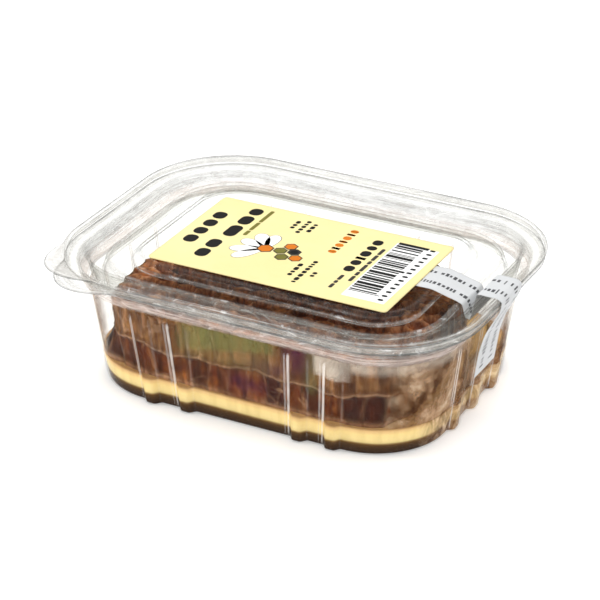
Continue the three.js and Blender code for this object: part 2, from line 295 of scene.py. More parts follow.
def noise(nt, vec, scale, detail=4, rough=0.55, dist=0.0):
    n = node(nt, "ShaderNodeTexNoise", in_Scale=scale, in_Detail=detail, in_Roughness=rough, in_Distortion=dist)
    if vec is not None:
        nt.links.new(vec, n.inputs["Vector"])
    return n.outputs["Fac"]


def mapping(nt, src, scale=(1, 1, 1), loc=(0, 0, 0), rot=(0, 0, 0)):
    m = nt.nodes.new("ShaderNodeMapping")
    m.inputs["Scale"].default_value = scale
    m.inputs["Location"].default_value = loc
    m.inputs["Rotation"].default_value = rot
    nt.links.new(src, m.inputs["Vector"])
    return m.outputs[0]


def bump(nt, height, dist, strength=1.0, normal=None):
    b = node(nt, "ShaderNodeBump", in_Distance=dist, in_Strength=strength)
    nt.links.new(height, b.inputs["Height"])
    if normal is not None:
        nt.links.new(normal, b.inputs["Normal"])
    return b.outputs[0]


# ------------------------------------------------------------------ clear plastic
def mix_shader(nt, fac, a, b):
    m = nt.nodes.new("ShaderNodeMixShader")
    if hasattr(fac, "is_output"):
        nt.links.new(fac, m.inputs[0])
    else:
        m.inputs[0].default_value = fac
    nt.links.new(a, m.inputs[1])
    nt.links.new(b, m.inputs[2])
    return m.outputs[0]


def attribute(nt, name):
    return node(nt, "ShaderNodeAttribute", attribute_name=name).outputs["Fac"]


def clear_plastic(name, wall=False):
    """Thin clear sheet. Where folds crowd together it carries a pale, streaky painted haze that stands in for light
    reflected and refracted by the folds; its edges are darker, as painted shade.
    """
    m, nt, out = material(name)
    tc = nt.nodes.new("ShaderNodeTexCoord")
    uv, obj = tc.outputs["UV"], tc.outputs["Object"]
    painted_haze = attribute(nt, "painted_haze")
    lines = noise(nt, mapping(nt, uv, (6.0, 150, 1)), 1.0, 4, 0.6)
    lines2 = noise(nt, mapping(nt, uv, (9.0, 420, 1), (3, 7, 0)), 1.0, 3, 0.6)
    waves = noise(nt, mapping(nt, obj, (60, 60, 60)), 1.0, 3, 0.5)
    fine = noise(nt, mapping(nt, obj, (420, 420, 420)), 1.0, 2, 0.5)
    crumple = noise(nt, mapping(nt, obj, (150, 150, 300)), 1.0, 4, 0.65, 1.5)
    h = math_node(nt, "ADD", math_node(nt, "MULTIPLY", lines, 0.30), math_node(nt, "ADD", waves, math_node(nt, "MULTIPLY", fine, 0.02)))
    h = math_node(nt, "ADD", h, math_node(nt, "MULTIPLY", math_node(nt, "MULTIPLY", crumple, painted_haze), 1.0))
    nrm = bump(nt, h, 0.0006, 0.6)
    lw = node(nt, "ShaderNodeLayerWeight", in_Blend=0.5)
    nt.links.new(nrm, lw.inputs["Normal"])
    graze = lw.outputs["Facing"]
    refl = math_node(nt, "ADD", math_node(nt, "MULTIPLY", math_node(nt, "POWER", graze, 9.0), 0.45), 0.0016, True)
    # the see-through tint is painted darker towards the silhouettes: painted shade where the sheet turns edge-on
    mid_, deep_, edge_ = ((0.975, 0.978, 0.974), (0.88, 0.87, 0.85), (0.66, 0.65, 0.63)) if wall else ((0.957, 0.956, 0.946), (0.64, 0.65, 0.64), (0.32, 0.33, 0.325))
    tint = ramp(nt, graze, [(0.0, (0.99, 0.992, 0.99)), (0.45, mid_), (0.75, (0.945, 0.94, 0.93) if wall else (0.89, 0.89, 0.88)), (0.92, deep_), (1.0, edge_)])
    tr = nt.nodes.new("ShaderNodeBsdfTransparent")
    nt.links.new(tint, tr.inputs[0])
    sk = math_node(nt, "ADD", math_node(nt, "MULTIPLY", lines, 0.62), math_node(nt, "ADD", math_node(nt, "MULTIPLY", lines2, 0.28), math_node(nt, "MULTIPLY", crumple, 0.32)))
    skr = ramp(nt, sk, [(0.50, (0.35, 0.35, 0.35)), (0.60, (0.75, 0.75, 0.75)), (0.70, (1.35, 1.35, 1.35)), (0.78, (1.9, 1.9, 1.9))])
    # painted haze: a pale diffuse layer stands in for light reflected and refracted where folds crowd
    vf = math_node(nt, "MULTIPLY", painted_haze, skr, True)
    df = nt.nodes.new("ShaderNodeBsdfDiffuse")
    shade = ramp(nt, sk, [(0.46, (0.26, 0.26, 0.245)), (0.58, (0.44, 0.43, 0.40)), (0.68, (0.62, 0.60, 0.57)), (0.76, (0.92, 0.92, 0.90))])
    sep = nt.nodes.new("ShaderNodeSeparateXYZ")
    nt.links.new(obj, sep.inputs[0])
    zmm = math_node(nt, "MULTIPLY", sep.outputs[2], 1000.0)
    if wall:
        # the painted haze takes a warm tint on the tub's shoulder band
        warm = ramp(nt, math_node(nt, "DIVIDE", zmm, 40.0), [(27.0 / 40, (1, 1, 1)), (29.2 / 40, (1, 1, 1)), (30.4 / 40, (0, 0, 0))])
        shade = mix_rgb(nt, math_node(nt, "MULTIPLY", warm, 0.80), shade, (0.95, 0.79, 0.71))
    nt.links.new(shade, df.inputs[0])
    sh = mix_shader(nt, vf, tr.outputs[0], df.outputs[0])
    if wall:
        # painted highlights: the folds beside the ribs are drawn as thin bright lines, lit diffuse with a little
        # emission, and faint upright streaks of painted highlight lie on the wall between them
        upright = noise(nt, mapping(nt, uv, (260, 5, 1)), 1.0, 3, 0.6)
        broken = noise(nt, mapping(nt, obj, (300, 300, 260)), 1.0, 3, 0.5)
        span = ramp(nt, math_node(nt, "DIVIDE", zmm, 40.0), [(0.5 / 40, (0, 0, 0)), (2.0 / 40, (0.8, 0.8, 0.8)), (14.0 / 40, (1, 1, 1)), (24.2 / 40, (1, 1, 1)), (25.4 / 40, (0, 0, 0))])
        near = ramp(nt, attribute(nt, "fold_near"), [(0.16, (1, 1, 1)), (0.34, (0, 0, 0))])
        faint = ramp(nt, attribute(nt, "fold_faint"), [(0.08, (0.42, 0.42, 0.42)), (0.24, (0, 0, 0))])
        far = ramp(nt, attribute(nt, "fold_far"), [(0.10, (0.10, 0.10, 0.10)), (0.40, (0, 0, 0))])
        ln = math_node(nt, "ADD", math_node(nt, "ADD", near, faint), far, True)
        ln = math_node(nt, "MULTIPLY", math_node(nt, "MULTIPLY", ln, span), ramp(nt, broken, [(0.36, (0.55, 0.55, 0.55)), (0.55, (0.9, 0.9, 0.9))]))
        st = math_node(nt, "MULTIPLY", ramp(nt, upright, [(0.62, (0, 0, 0)), (0.78, (0.09, 0.09, 0.09))]), span)
        glint = node(nt, "ShaderNodeBsdfDiffuse", in_Color=(0.98, 0.93, 0.88, 1))
        glow = node(nt, "ShaderNodeEmission", in_Color=(1.0, 0.95, 0.90, 1), in_Strength=0.30)
        add = nt.nodes.new("ShaderNodeAddShader")
        nt.links.new(glint.outputs[0], add.inputs[0])
        nt.links.new(glow.outputs[0], add.inputs[1])
        sh = mix_shader(nt, math_node(nt, "MULTIPLY", math_node(nt, "ADD", ln, st, True), 0.45), sh, add.outputs[0])
    # painted glints: small bright emissive patches where the painted haze lies
    spark = math_node(nt, "MULTIPLY", ramp(nt, crumple, [(0.60, (0, 0, 0)), (0.68, (1, 1, 1))]), math_node(nt, "MULTIPLY", painted_haze, 2.2), True)
    sparkle = node(nt, "ShaderNodeEmission", in_Color=(1.0, 1.0, 0.99, 1), in_Strength=0.95)
    sh = mix_shader(nt, math_node(nt, "MULTIPLY", spark, 0.55), sh, sparkle.outputs[0])
    # painted shade: dark lines along edge-on folds and the outer edge of the flange
    edge_shade_colour = node(nt, "ShaderNodeBsdfDiffuse", in_Color=(0.10, 0.115, 0.12, 1))
    sh = mix_shader(nt, math_node(nt, "MULTIPLY", attribute(nt, "painted_edge_shade"), ramp(nt, waves, [(0.35, (0.35, 0.35, 0.35)), (0.6, (1, 1, 1))])), sh, edge_shade_colour.outputs[0])
    gl = node(nt, "ShaderNodeBsdfGlossy", in_Roughness=0.04)
    nt.links.new(nrm, gl.inputs["Normal"])
    nt.links.new(mix_shader(nt, refl, sh, gl.outputs[0]), out.inputs[0])
    return m


RG = Ringer(param_ring())
wall = lambda z, inset=0.0: [BASE_A + DRAFT_A * z - inset, BASE_B + DRAFT_B * z - inset, BASE_R + DRAFT_R * z - inset, z]
inner = lambda z, extra=0.0: wall(z, FILM + extra)


def row(w, rib=0.0, lid_tab=0.0, tub_tab=0.0, z=None):
    w = list(w)
    if z is not None:
        w[3] = z
    return w + [rib, lid_tab, tub_tab]


tub_rows = [
    row(wall(0, 0.5), 1.1), row(wall(0, 0.3), 1.15), row(wall(0.6), 1.3), row(wall(1.9), 1.25), row(wall(3.2), 1.2), row(wall(12), 1),
    row(wall(22), 0.8), row(wall(24), 0.45), row(wall(RIB_TOP)), row(wall(SHOULDER_Z)), row(wall(28.2, -1.3)), row(wall(30.2, -1.3)),
    row(wall(32.2, -1.3)), row(wall(FLANGE_TOP - FILM, -1.9)), row([56.6, 43.1, 25.6, FLANGE_TOP - FILM], tub_tab=0.95),
    row([57.0, 43.5, 26.0, FLANGE_TOP - FILM], tub_tab=1), row([57.0, 43.5, 26.0, FLANGE_TOP], tub_tab=1),
    row([56.6, 43.1, 25.6, FLANGE_TOP], tub_tab=0.95), row(wall(FLANGE_TOP, -1.2)), row(inner(32.4, -1.3)), row(inner(30.2, -1.3)),
    row(inner(28.6, -1.3)), row(inner(SHOULDER_Z + 0.4)), row(inner(RIB_TOP)), row(inner(24), 0.45), row(inner(22), 0.8),
    row(inner(12), 1), row(inner(3.2), 1.2), row(inner(1.9), 1.25), row(inner(1.3, 0.3), 1.2), row(inner(FLOOR, 0.8), 1.1), row(inner(FLOOR, 1.0), 1.1),
]
def step(x, lo, hi):
    t = float(np.clip((x - lo) / (hi - lo), 0, 1))
    return t * t * (3 - 2 * t)


def bell(x, at, w):
    return math.exp(-((x - at) / w) ** 2)


# painted haze of reflected light on the tub's shoulder band and flange
def tub_painted_haze(r):
    a, z = r[0], r[3]
    band = step(z, 26.7, 27.4) * (1 - step(a, 53.6, 54.4)) * 0.36
    flange = step(a, 54.6, 55.8) * 0.34
    return band + flange + 0.004


# painted shade: dark lines at the flange's outer edge and along the shoulder fold
def tub_edge_shade(r):
    a, z = r[0], r[3]
    return 0.62 * step(a, 56.75, 56.95) + 0.35 * bell(z, 27.35, 0.22) * (a < 54)


tub = loft("tub_shell", RG, soften(tub_rows, 2), (0, 0, 0), (0, 0, FLOOR), tub_painted_haze, tub_edge_shade, True)
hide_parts("tub"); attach(tub, "root")
tub.data.materials.append(clear_plastic("tub_plastic", True))

lid_rows = [
    [20, 10, 4, PANEL_TOP, 0, 0, 0], [37.6, 24.6, 9.8, PANEL_TOP, 0, 0, 0],
    [38.4, 25.4, 10.6, PANEL_TOP, 0, 0, 0], [40.0, 27.6, 11.8, MOAT_TOP, 0, 0, 0], [42.5, 29.6, 13.7, MOAT_TOP, 0, 0, 0],
    [45.2, 31.6, 15.7, MOAT_TOP, 0, 0, 0], [46.2, 32.7, 16.7, MOAT_TOP + 0.45, 0, 0, 0], [47.0, 33.5, 17.5, MOAT_TOP - 0.2, 0, 0, 0],
    [47.45, 34.05, 17.95, 30.4, 0, 0, 0], [47.9, 34.6, 18.4, TROUGH_TOP, 0, 0, 0], [48.9, 35.5, 19.2, TROUGH_TOP - 0.1, 0, 0, 0],
    [49.9, 36.5, 20.0, TROUGH_TOP - 0.1, 0, 0, 0], [50.6, 37.2, 20.6, 32.0, 0, 0, 0], [51.3, 37.9, 21.2, LID_TOP - 0.9, 0, 0, 0],
    [52.1, 38.7, 21.8, LID_TOP, 0, 0, 0], [54.2, 40.8, 23.6, LID_TOP, 0, 0, 0], [56.4, 42.9, 25.5, LID_TOP, 0, 0, 0],
    [56.9, 43.4, 25.9, LID_TOP - 0.6, 0, 0, 0], [57.3, 43.8, 26.3, LID_TOP - 0.7, 0, 0.97, 0],
    [RIM_A, RIM_B, RIM_R, LID_TOP - 0.75, 0, 1, 0], [RIM_A, RIM_B, RIM_R, LID_TOP - 1.15, 0, 1, 0],
    [57.3, 43.8, 26.3, LID_TOP - 1.2, 0, 0.97, 0], [56.9, 43.4, 25.9, LID_TOP - 1.25, 0, 0, 0],
    [57.0, 43.5, 26.0, FLANGE_TOP + 0.4, 0, 0, 0],
    [56.5, 43.0, 25.5, FLANGE_TOP + 0.4, 0, 0, 0], [56.2, 42.7, 25.2, LID_TOP - 0.75, 0, 0, 0], [55.8, 42.3, 24.9, LID_TOP - FILM, 0, 0, 0],
    [54.0, 40.6, 23.4, LID_TOP - FILM, 0, 0, 0], [52.5, 39.1, 22.1, LID_TOP - FILM, 0, 0, 0], [51.85, 38.45, 21.7, LID_TOP - 1.2, 0, 0, 0],
    [51.1, 37.7, 21.1, 32.0, 0, 0, 0], [50.4, 37.0, 20.5, TROUGH_TOP - 0.6, 0, 0, 0], [48.9, 35.5, 19.2, TROUGH_TOP - 0.6, 0, 0, 0],
    [47.4, 34.1, 17.9, TROUGH_TOP - 0.6, 0, 0, 0], [46.95, 33.55, 17.45, 30.2, 0, 0, 0], [46.5, 33.0, 17.0, MOAT_TOP - 0.6, 0, 0, 0],
    [45.0, 31.4, 15.5, MOAT_TOP - FILM, 0, 0, 0], [42.3, 29.4, 13.5, MOAT_TOP - FILM, 0, 0, 0], [39.5, 27.1, 11.3, MOAT_TOP - FILM, 0, 0, 0],
    [37.9, 24.9, 10.1, PANEL_TOP - FILM, 0, 0, 0], [37.1, 24.1, 9.3, PANEL_TOP - FILM, 0, 0, 0], [20, 10, 4, PANEL_TOP - FILM, 0, 0, 0],
]
RGL = Ringer(param_ring(40, 24, 18, 64))
def dense(P, gap=0.34, start=36.0):
    """More rows where the profile runs beyond the middle panel."""
    out = [P[0]]
    for p, q in zip(P[:-1], P[1:]):
        d = math.hypot(q[0] - p[0], q[3] - p[3])
        k = max(1, int(math.ceil(d / gap))) if min(p[0], q[0]) > start else 1
        for i in range(1, k + 1):
            out.append(p + (q - p) * i / k)
    return np.array(out)


# painted haze of reflected light along the lid's lip, foot, bead and folds
def lid_painted_haze(r):
    a, z = r[0], r[3]
    lip = step(a, 56.1, 56.8) * 0.36
    foot = 0.34 * bell(a, 40.05, 0.30) + 0.10 * bell(a, 38.5, 0.22)
    bead = 0.34 * bell(a, 46.3, 0.50)
    fold = 0.16 * bell(a, 52.0, 0.30) + 0.12 * bell(a, 47.7, 0.25) * (z < 30)
    return lip + foot + bead + fold + 0.03 * step(a, 49.8, 50.6) + 0.004


# painted shade: dark lines at the lid's outer edge, the panel edge and its folds
def lid_edge_shade(r):
    a, z = r[0], r[3]
    return 0.55 * step(a, 57.3, 57.48) + 0.16 * bell(a, 51.2, 0.22) + 0.14 * bell(a, 38.2, 0.25) + 0.12 * bell(a, 45.3, 0.22)


lid = loft("lid_shell", RGL, dense(soften(lid_rows, 2))[::-1], (0, 0, PANEL_TOP - FILM), (0, 0, PANEL_TOP), lid_painted_haze, lid_edge_shade)
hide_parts("lid"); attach(lid, "root")
lid.data.materials.append(clear_plastic("lid_plastic"))

# ------------------------------------------------------------------ comb
OUTLINE = np.array([
    [-41.0, -24.5], [-37.0, -31.6], [-28.0, -34.9], [-8.0, -35.2], [14.0, -35.2], [29.0, -34.6],
    [38.6, -31.0], [43.2, -23.0], [43.6, -11.0], [41.4, 2.0], [40.4, 12.0], [36.6, 19.2],
    [24.0, 21.6], [6.0, 20.6], [-14.0, 22.0], [-31.0, 20.0], [-39.4, 13.6], [-40.4, -2.0], [-41.6, -14.0]])


def closed_curve(P, n):
    """Evenly spaced points on the closed Catmull-Rom curve through P."""
    out = []
    m = len(P)
    for i in range(m):
        p0, p1, p2, p3 = P[i - 1], P[i], P[(i + 1) % m], P[(i + 2) % m]
        t = np.linspace(0, 1, 60, endpoint=False)[:, None]
        out.append(0.5 * ((2 * p1) + (-p0 + p2) * t + (2 * p0 - 5 * p1 + 4 * p2 - p3) * t ** 2 + (-p0 + 3 * p1 - 3 * p2 + p3) * t ** 3))
    C = np.vstack(out)
    d = np.linalg.norm(np.diff(np.vstack([C, C[:1]]), axis=0), axis=1)
    s = np.concatenate([[0], np.cumsum(d)])
    u = np.linspace(0, s[-1], n, endpoint=False)
    Cx = np.append(C[:, 0], C[0, 0]); Cy = np.append(C[:, 1], C[0, 1])
    return np.stack([np.interp(u, s, Cx), np.interp(u, s, Cy)], 1), s[-1]


def wob(x, y, k, seed):
    """Cheap smooth noise from a few sines."""
    r = np.random.RandomState(seed)
    v = np.zeros_like(x)
    for _ in range(7):
        a = r.uniform(0, 2 * np.pi); f = k * r.uniform(0.6, 1.7)
        v += np.sin((x * np.cos(a) + y * np.sin(a)) * f + r.uniform(0, 6.28))
    return v / 4.0


def hex_cells(x, y, turn=4.0, ox=0.0, oy=-7.0):
    """Distance from the nearest cell wall (0 on a wall, up to CELL/2 at a cell's middle) and a number for the cell."""
    R = CELL / math.sqrt(3)
    c, s = math.cos(math.radians(turn)), math.sin(math.radians(turn))
    X = x * c + y * s - ox
    Y = -x * s + y * c - oy
    q = X / CELL - Y / (3 * R) * 1.0
    q = X / CELL - 0.5 * (Y / (1.5 * R))
    r_ = Y / (1.5 * R)
    cx, cz = q, r_
    cy = -cx - cz
    rx, ry, rz = np.round(cx), np.round(cy), np.round(cz)
    dx, dy, dz = abs(rx - cx), abs(ry - cy), abs(rz - cz)
    fx = (dx > dy) & (dx > dz)
    fz = ~fx & (dz > dy)
    rx = np.where(fx, -ry - rz, rx)
    rz = np.where(fz, -rx - ry, rz)
    px = (rx + 0.5 * rz) * CELL
    py = rz * 1.5 * R
    u, v = X - px, Y - py
    d = np.maximum(abs(u), np.maximum(abs(0.5 * u + 0.8660254 * v), abs(0.5 * u - 0.8660254 * v)))
    return CELL / 2 - d, (rx * 57 + rz * 131).astype(int), u, v


def comb_mesh():
    N = 640
    P, length = closed_curve(OUTLINE, N)
    cells = int(round(length / CELL))
    T = np.roll(P, -1, 0) - np.roll(P, 1, 0)
    nrm = np.stack([T[:, 1], -T[:, 0]], 1) / np.linalg.norm(T, axis=1)[:, None]
    s = np.arange(N) / N * cells            # one unit for each cell along the cut side
    hashf = lambda k, a: (np.sin(k * 127.1 + a * 311.7) * 43758.5453) % 1.0
    zs = np.concatenate([np.linspace(COMB_LOW - 0.3, COMB_MID - 0.9, 26), np.linspace(COMB_MID - 0.6, COMB_MID + 0.6, 7), np.linspace(COMB_MID + 0.9, COMB_TOP, 26)])
    rows_, info = [], []
    for z in zs:
        upper = z > COMB_MID
        ph = s + (0.5 if upper else 0.0) + 0.12 * np.sin(z * 0.35 + s * 0.7)
        k = np.floor(ph)
        u = (ph - k) * 2 - 1                # -1..1 across one half cell
        r1 = hashf(k, 1.0 if upper else 2.0)
        half = np.sqrt(np.maximum(0, 1 - np.abs(u) ** 2.4))
        deep = (0.35 + 1.15 * r1) * half
        # the cells are closed by the midrib and narrow a little towards it
        mid = np.exp(-((z - COMB_MID) / 0.75) ** 2)
        edge = np.clip((z - (COMB_LOW - 0.3)) / 1.6, 0, 1)
        rag = 0.35 * np.sin(s * 0.83 + 1.3) + 0.22 * np.sin(s * 2.1 + z * 0.22) + 0.10 * np.sin(s * 5.3 + z * 0.9)
        body = -0.2 - 0.9 * ((z - COMB_MID) / 11.0) ** 2 * (0.6 if upper else 1.0)
        o = body - deep * (1 - 0.85 * mid) + 0.55 * mid + rag * 0.6 - (1 - edge) ** 2 * 1.1
        front = np.clip((-28 - P[:, 1]) / 4.0, 0, 1)
        press = 0.113 * (z - 5.4) - 0.15 - 0.55 * deep * (1 - 0.8 * mid) + 0.12 * np.sin(s * 2.1 + z * 0.2)
        o = o * (1 - front) + press * front
        left = np.clip((-36 - P[:, 0]) / 4.0, 0, 1)
        o = o + left * (5.2 * np.clip((17.0 - z) / 10.0, 0, 1))
        hang = 1 - np.clip((z - COMB_LOW + 0.3) / 6.0, 0, 1)
        uq = (s - np.floor(s)) * 2 - 1
        drop = hashf(np.floor(s), 5.0)
        dz = hang ** 1.5 * (0.9 - 1.5 * np.sqrt(np.maximum(0, 1 - uq * uq)) * (0.35 + 0.65 * drop) + 0.45 * np.sin(s * 0.31 + 2))
        um = (s + 0.5 - np.floor(s + 0.5)) * 2 - 1
        dz = dz + np.exp(-((z - COMB_MID) / 2.6) ** 2) * (0.55 * np.sin(s * 0.83) + 0.45 * np.sin(s * 2.1 + 1) - 0.55 * np.sqrt(np.maximum(0, 1 - um * um)) + 0.4)
        rows_.append(np.column_stack([P + nrm * o[:, None], np.full(N, z) + dz]))
        # the raised walls between cells get the pale colour: pale wax, partly painted highlight
        ridge = np.clip(1 - half * 1.25, 0, 1)
        info.append(np.stack([np.maximum(ridge, mid * 0.6), r1 * (1 - mid), np.full(N, 1.0 if upper else 0.0), np.full(N, z)], 1))
    side = np.array(rows_); sinfo = np.array(info)
    # upper face: rings from the edge to the middle
    K = 84
    mid_pt = np.array([0.0, -7.0])
    edge_xy = side[-1][:, :2]
    top_rows, tinfo = [], []
    for q in range(1, K + 1):
        t = 1 - (q / K) ** 1.0
        XY = mid_pt + (edge_xy - mid_pt) * max(t, 0.004)
        dist, cid, u, v = hex_cells(XY[:, 0], XY[:, 1])
        r1 = hashf(cid.astype(float), 3.0)
        r2 = hashf(cid.astype(float), 7.0)
        capped = r2 < 0.3
        w = np.clip((dist - 0.22) / 0.75, 0, 1); w = w * w * (3 - 2 * w)
        depth = np.where(capped, 0.35 + 0.25 * r1, 1.1 + 1.9 * r1)
        dome = np.where(capped, 0.5 * np.clip(dist / 2.65, 0, 1) ** 0.8, 0.0)
        z = COMB_TOP + 0.28 * wob(XY[:, 0], XY[:, 1], 0.16, 3) - depth * w + dome + 0.12 * wob(XY[:, 0], XY[:, 1], 1.3, 4)
        # the cut edge is rounded over
        z -= 0.5 * np.clip(1 - (1 - t) * 42 / 1.2, 0, 1)
        top_rows.append(np.column_stack([XY, z]))
        tinfo.append(np.stack([1 - w, np.where(capped, 0.9, r1 * 0.7), np.full(N, 2.0), np.full(N, 30.0)], 1))
    # side's last row takes the height of the face it meets
    side[-1][:, 2] = np.minimum(side[-1][:, 2], top_rows[0][:, 2] - 0.05)
    low_rows, linfo = [], []
    for q in range(1, 9):
        t = 1 - q / 8
        XY = mid_pt + (side[0][:, :2] - mid_pt) * max(t, 0.004)
        low_rows.append(np.column_stack([XY, side[0][:, 2] * t + (COMB_LOW - 0.2) * (1 - t)]))
        linfo.append(np.stack([np.zeros(N), np.zeros(N), np.zeros(N), np.full(N, 6.5)], 1))
    rings = low_rows[::-1] + list(side) + top_rows
    infos = linfo[::-1] + list(sinfo) + tinfo
    V = np.vstack(rings + [[[0, -7, rings[0][0][2]]], [[0, -7, rings[-1][0][2]]]])
    I = np.vstack(infos + [[[0, 0, 0, 6.5]], [[0, 0.5, 2, 30.0]]])
    i = np.arange(N); j = (i + 1) % N
    F = np.vstack([np.stack([k * N + i, k * N + j, (k + 1) * N + j, (k + 1) * N + i], 1) for k in range(len(rings) - 1)]).tolist()
    b = len(rings) * N
    F += [[b, int(c), int(a)] for a, c in zip(i, j)]
    top = (len(rings) - 1) * N
    F += [[b + 1, int(top + a), int(top + c)] for a, c in zip(i, j)]
    return new_object("comb_slab", V, F, attrs={"ridge": I[:, 0], "cell": I[:, 1], "zone": I[:, 2], "level": I[:, 3]})


def comb_material():
    """Dark brood-stained wax, wet with honey: lighter walls, midrib and cut edges, darker cells. The lighter walls and
    midrib are pale wax and partly painted highlight; the top face is lightened with painted light against the label's
    shade.
    """
    m, nt, out = material("comb_wax")
    tc = nt.nodes.new("ShaderNodeTexCoord")
    obj = tc.outputs["Object"]
    ridge, cell, zone = attribute(nt, "ridge"), attribute(nt, "cell"), attribute(nt, "zone")
    blotch = noise(nt, mapping(nt, obj, (110, 110, 60)), 1.0, 5, 0.62, 0.8)
    patch = noise(nt, mapping(nt, obj, (42, 42, 30), (5, 1, 2)), 1.0, 3, 0.5, 0.5)
    streaks = noise(nt, mapping(nt, obj, (700, 700, 60)), 1.0, 4, 0.6)
    grain = noise(nt, mapping(nt, obj, (1500, 1500, 1500)), 1.0, 2, 0.5)
    mottle = noise(nt, mapping(nt, obj, (300, 300, 220), (2, 9, 4)), 1.0, 4, 0.66, 0.6)
    torn = noise(nt, mapping(nt, obj, (120, 120, 100), (8, 3, 1)), 1.0, 5, 0.68, 0.8)
    sep = nt.nodes.new("ShaderNodeSeparateXYZ")
    nt.links.new(obj, sep.inputs[0])
    wav = math_node(nt, "MULTIPLY", math_node(nt, "SUBTRACT", blotch, 0.5), 1.2)
    z = math_node(nt, "ADD", attribute(nt, "level"), wav)
    z30 = math_node(nt, "DIVIDE", z, 30.0)
    mixc = math_node(nt, "ADD", math_node(nt, "ADD", math_node(nt, "MULTIPLY", blotch, 0.42), math_node(nt, "MULTIPLY", mottle, 0.34)), math_node(nt, "MULTIPLY", cell, 0.24))
    low = ramp(nt, mixc, [(0.28, (0.010, 0.001, 0.0005)), (0.42, (0.042, 0.006, 0.001)), (0.54, (0.098, 0.020, 0.003)), (0.68, (0.31, 0.105, 0.026))])
    high = ramp(nt, mixc, [(0.28, (0.030, 0.008, 0.002)), (0.40, (0.090, 0.029, 0.007)), (0.54, (0.175, 0.070, 0.021)), (0.68, (0.36, 0.18, 0.072))])
    # the top face's colours are kept lighter: painted light that offsets the shade under the label and lid
    top = ramp(nt, mixc, [(0.26, (0.065, 0.008, 0.001)), (0.40, (0.18, 0.035, 0.005)), (0.54, (0.31, 0.090, 0.018)), (0.70, (0.46, 0.20, 0.075))])
    is_high = ramp(nt, z30, [(15.9 / 30, (0, 0, 0)), (17.2 / 30, (1, 1, 1))])
    col = mix_rgb(nt, is_high, low, high)
    is_top = ramp(nt, math_node(nt, "DIVIDE", zone, 2.0), [(0.70, (0, 0, 0)), (0.9, (1, 1, 1))])
    col = mix_rgb(nt, is_top, col, top)
    pale = ramp(nt, patch, [(0.3, (0.40, 0.21, 0.11)), (0.7, (0.66, 0.40, 0.23))])
    # the lower edge is pale wax; the lighter midrib line is pale wax and painted highlight
    edge = ramp(nt, z30, [(7.0 / 30, (0.9, 0.9, 0.9)), (7.9 / 30, (0.75, 0.75, 0.75)), (8.6 / 30, (0.2, 0.2, 0.2)), (9.6 / 30, (0, 0, 0)), (15.9 / 30, (0, 0, 0)), (16.5 / 30, (0.70, 0.70, 0.70)), (17.0 / 30, (0.2, 0.2, 0.2)), (17.8 / 30, (0, 0, 0))])
    # the raised cell walls are pale wax, partly painted highlight
    walls = math_node(nt, "MULTIPLY", ridge, ramp(nt, streaks, [(0.36, (0.08, 0.08, 0.08)), (0.62, (0.62, 0.62, 0.62))]))
    side_lines = math_node(nt, "MAXIMUM", math_node(nt, "MULTIPLY", edge, math_node(nt, "SUBTRACT", 1.0, is_top)), math_node(nt, "MULTIPLY", walls, 0.75), True)
    col = mix_rgb(nt, side_lines, col, pale)
    flecks = math_node(nt, "MULTIPLY", ramp(nt, torn, [(0.57, (0, 0, 0)), (0.62, (0.50, 0.50, 0.50)), (0.70, (0.10, 0.10, 0.10))]), math_node(nt, "SUBTRACT", 1.0, math_node(nt, "MULTIPLY", is_top, 0.8)), True)
    col = mix_rgb(nt, flecks, col, pale)
    st = ramp(nt, streaks, [(0.35, (0.55, 0.52, 0.50)), (0.5, (0.95, 0.95, 0.95)), (0.66, (1.5, 1.45, 1.4))])
    col = mix_rgb(nt, 1.0, col, st, "MULTIPLY")
    col = mix_rgb(nt, math_node(nt, "MULTIPLY", grain, 0.25), col, (0.05, 0.015, 0.006))
    bs = node(nt, "ShaderNodeBsdfPrincipled", in_Roughness=0.34)
    bs.inputs["Specular IOR Level"].default_value = 0.07
    bs.inputs["Subsurface Weight"].default_value = 0.10
    bs.inputs["Subsurface Radius"].default_value = (0.004, 0.0014, 0.0005)
    bs.inputs["Subsurface Scale"].default_value = 1.0
    bs.inputs["Coat Weight"].default_value = 0.03
    bs.inputs["Coat Roughness"].default_value = 0.10
    nt.links.new(col, bs.inputs["Base Color"])
    rough = ramp(nt, streaks, [(0.3, (0.25, 0.25, 0.25)), (0.7, (0.55, 0.55, 0.55))])
    nt.links.new(rough, bs.inputs["Roughness"])
    h = math_node(nt, "ADD", math_node(nt, "MULTIPLY", streaks, 0.6), math_node(nt, "ADD", math_node(nt, "MULTIPLY", grain, 0.25), math_node(nt, "MULTIPLY", blotch, 0.8)))
    nt.links.new(bump(nt, h, 0.0006, 0.7), bs.inputs["Normal"])
    nt.links.new(bs.outputs[0], out.inputs[0])
    return m


comb = comb_mesh()
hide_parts("comb"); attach(comb, "root")
comb.data.materials.append(comb_material())


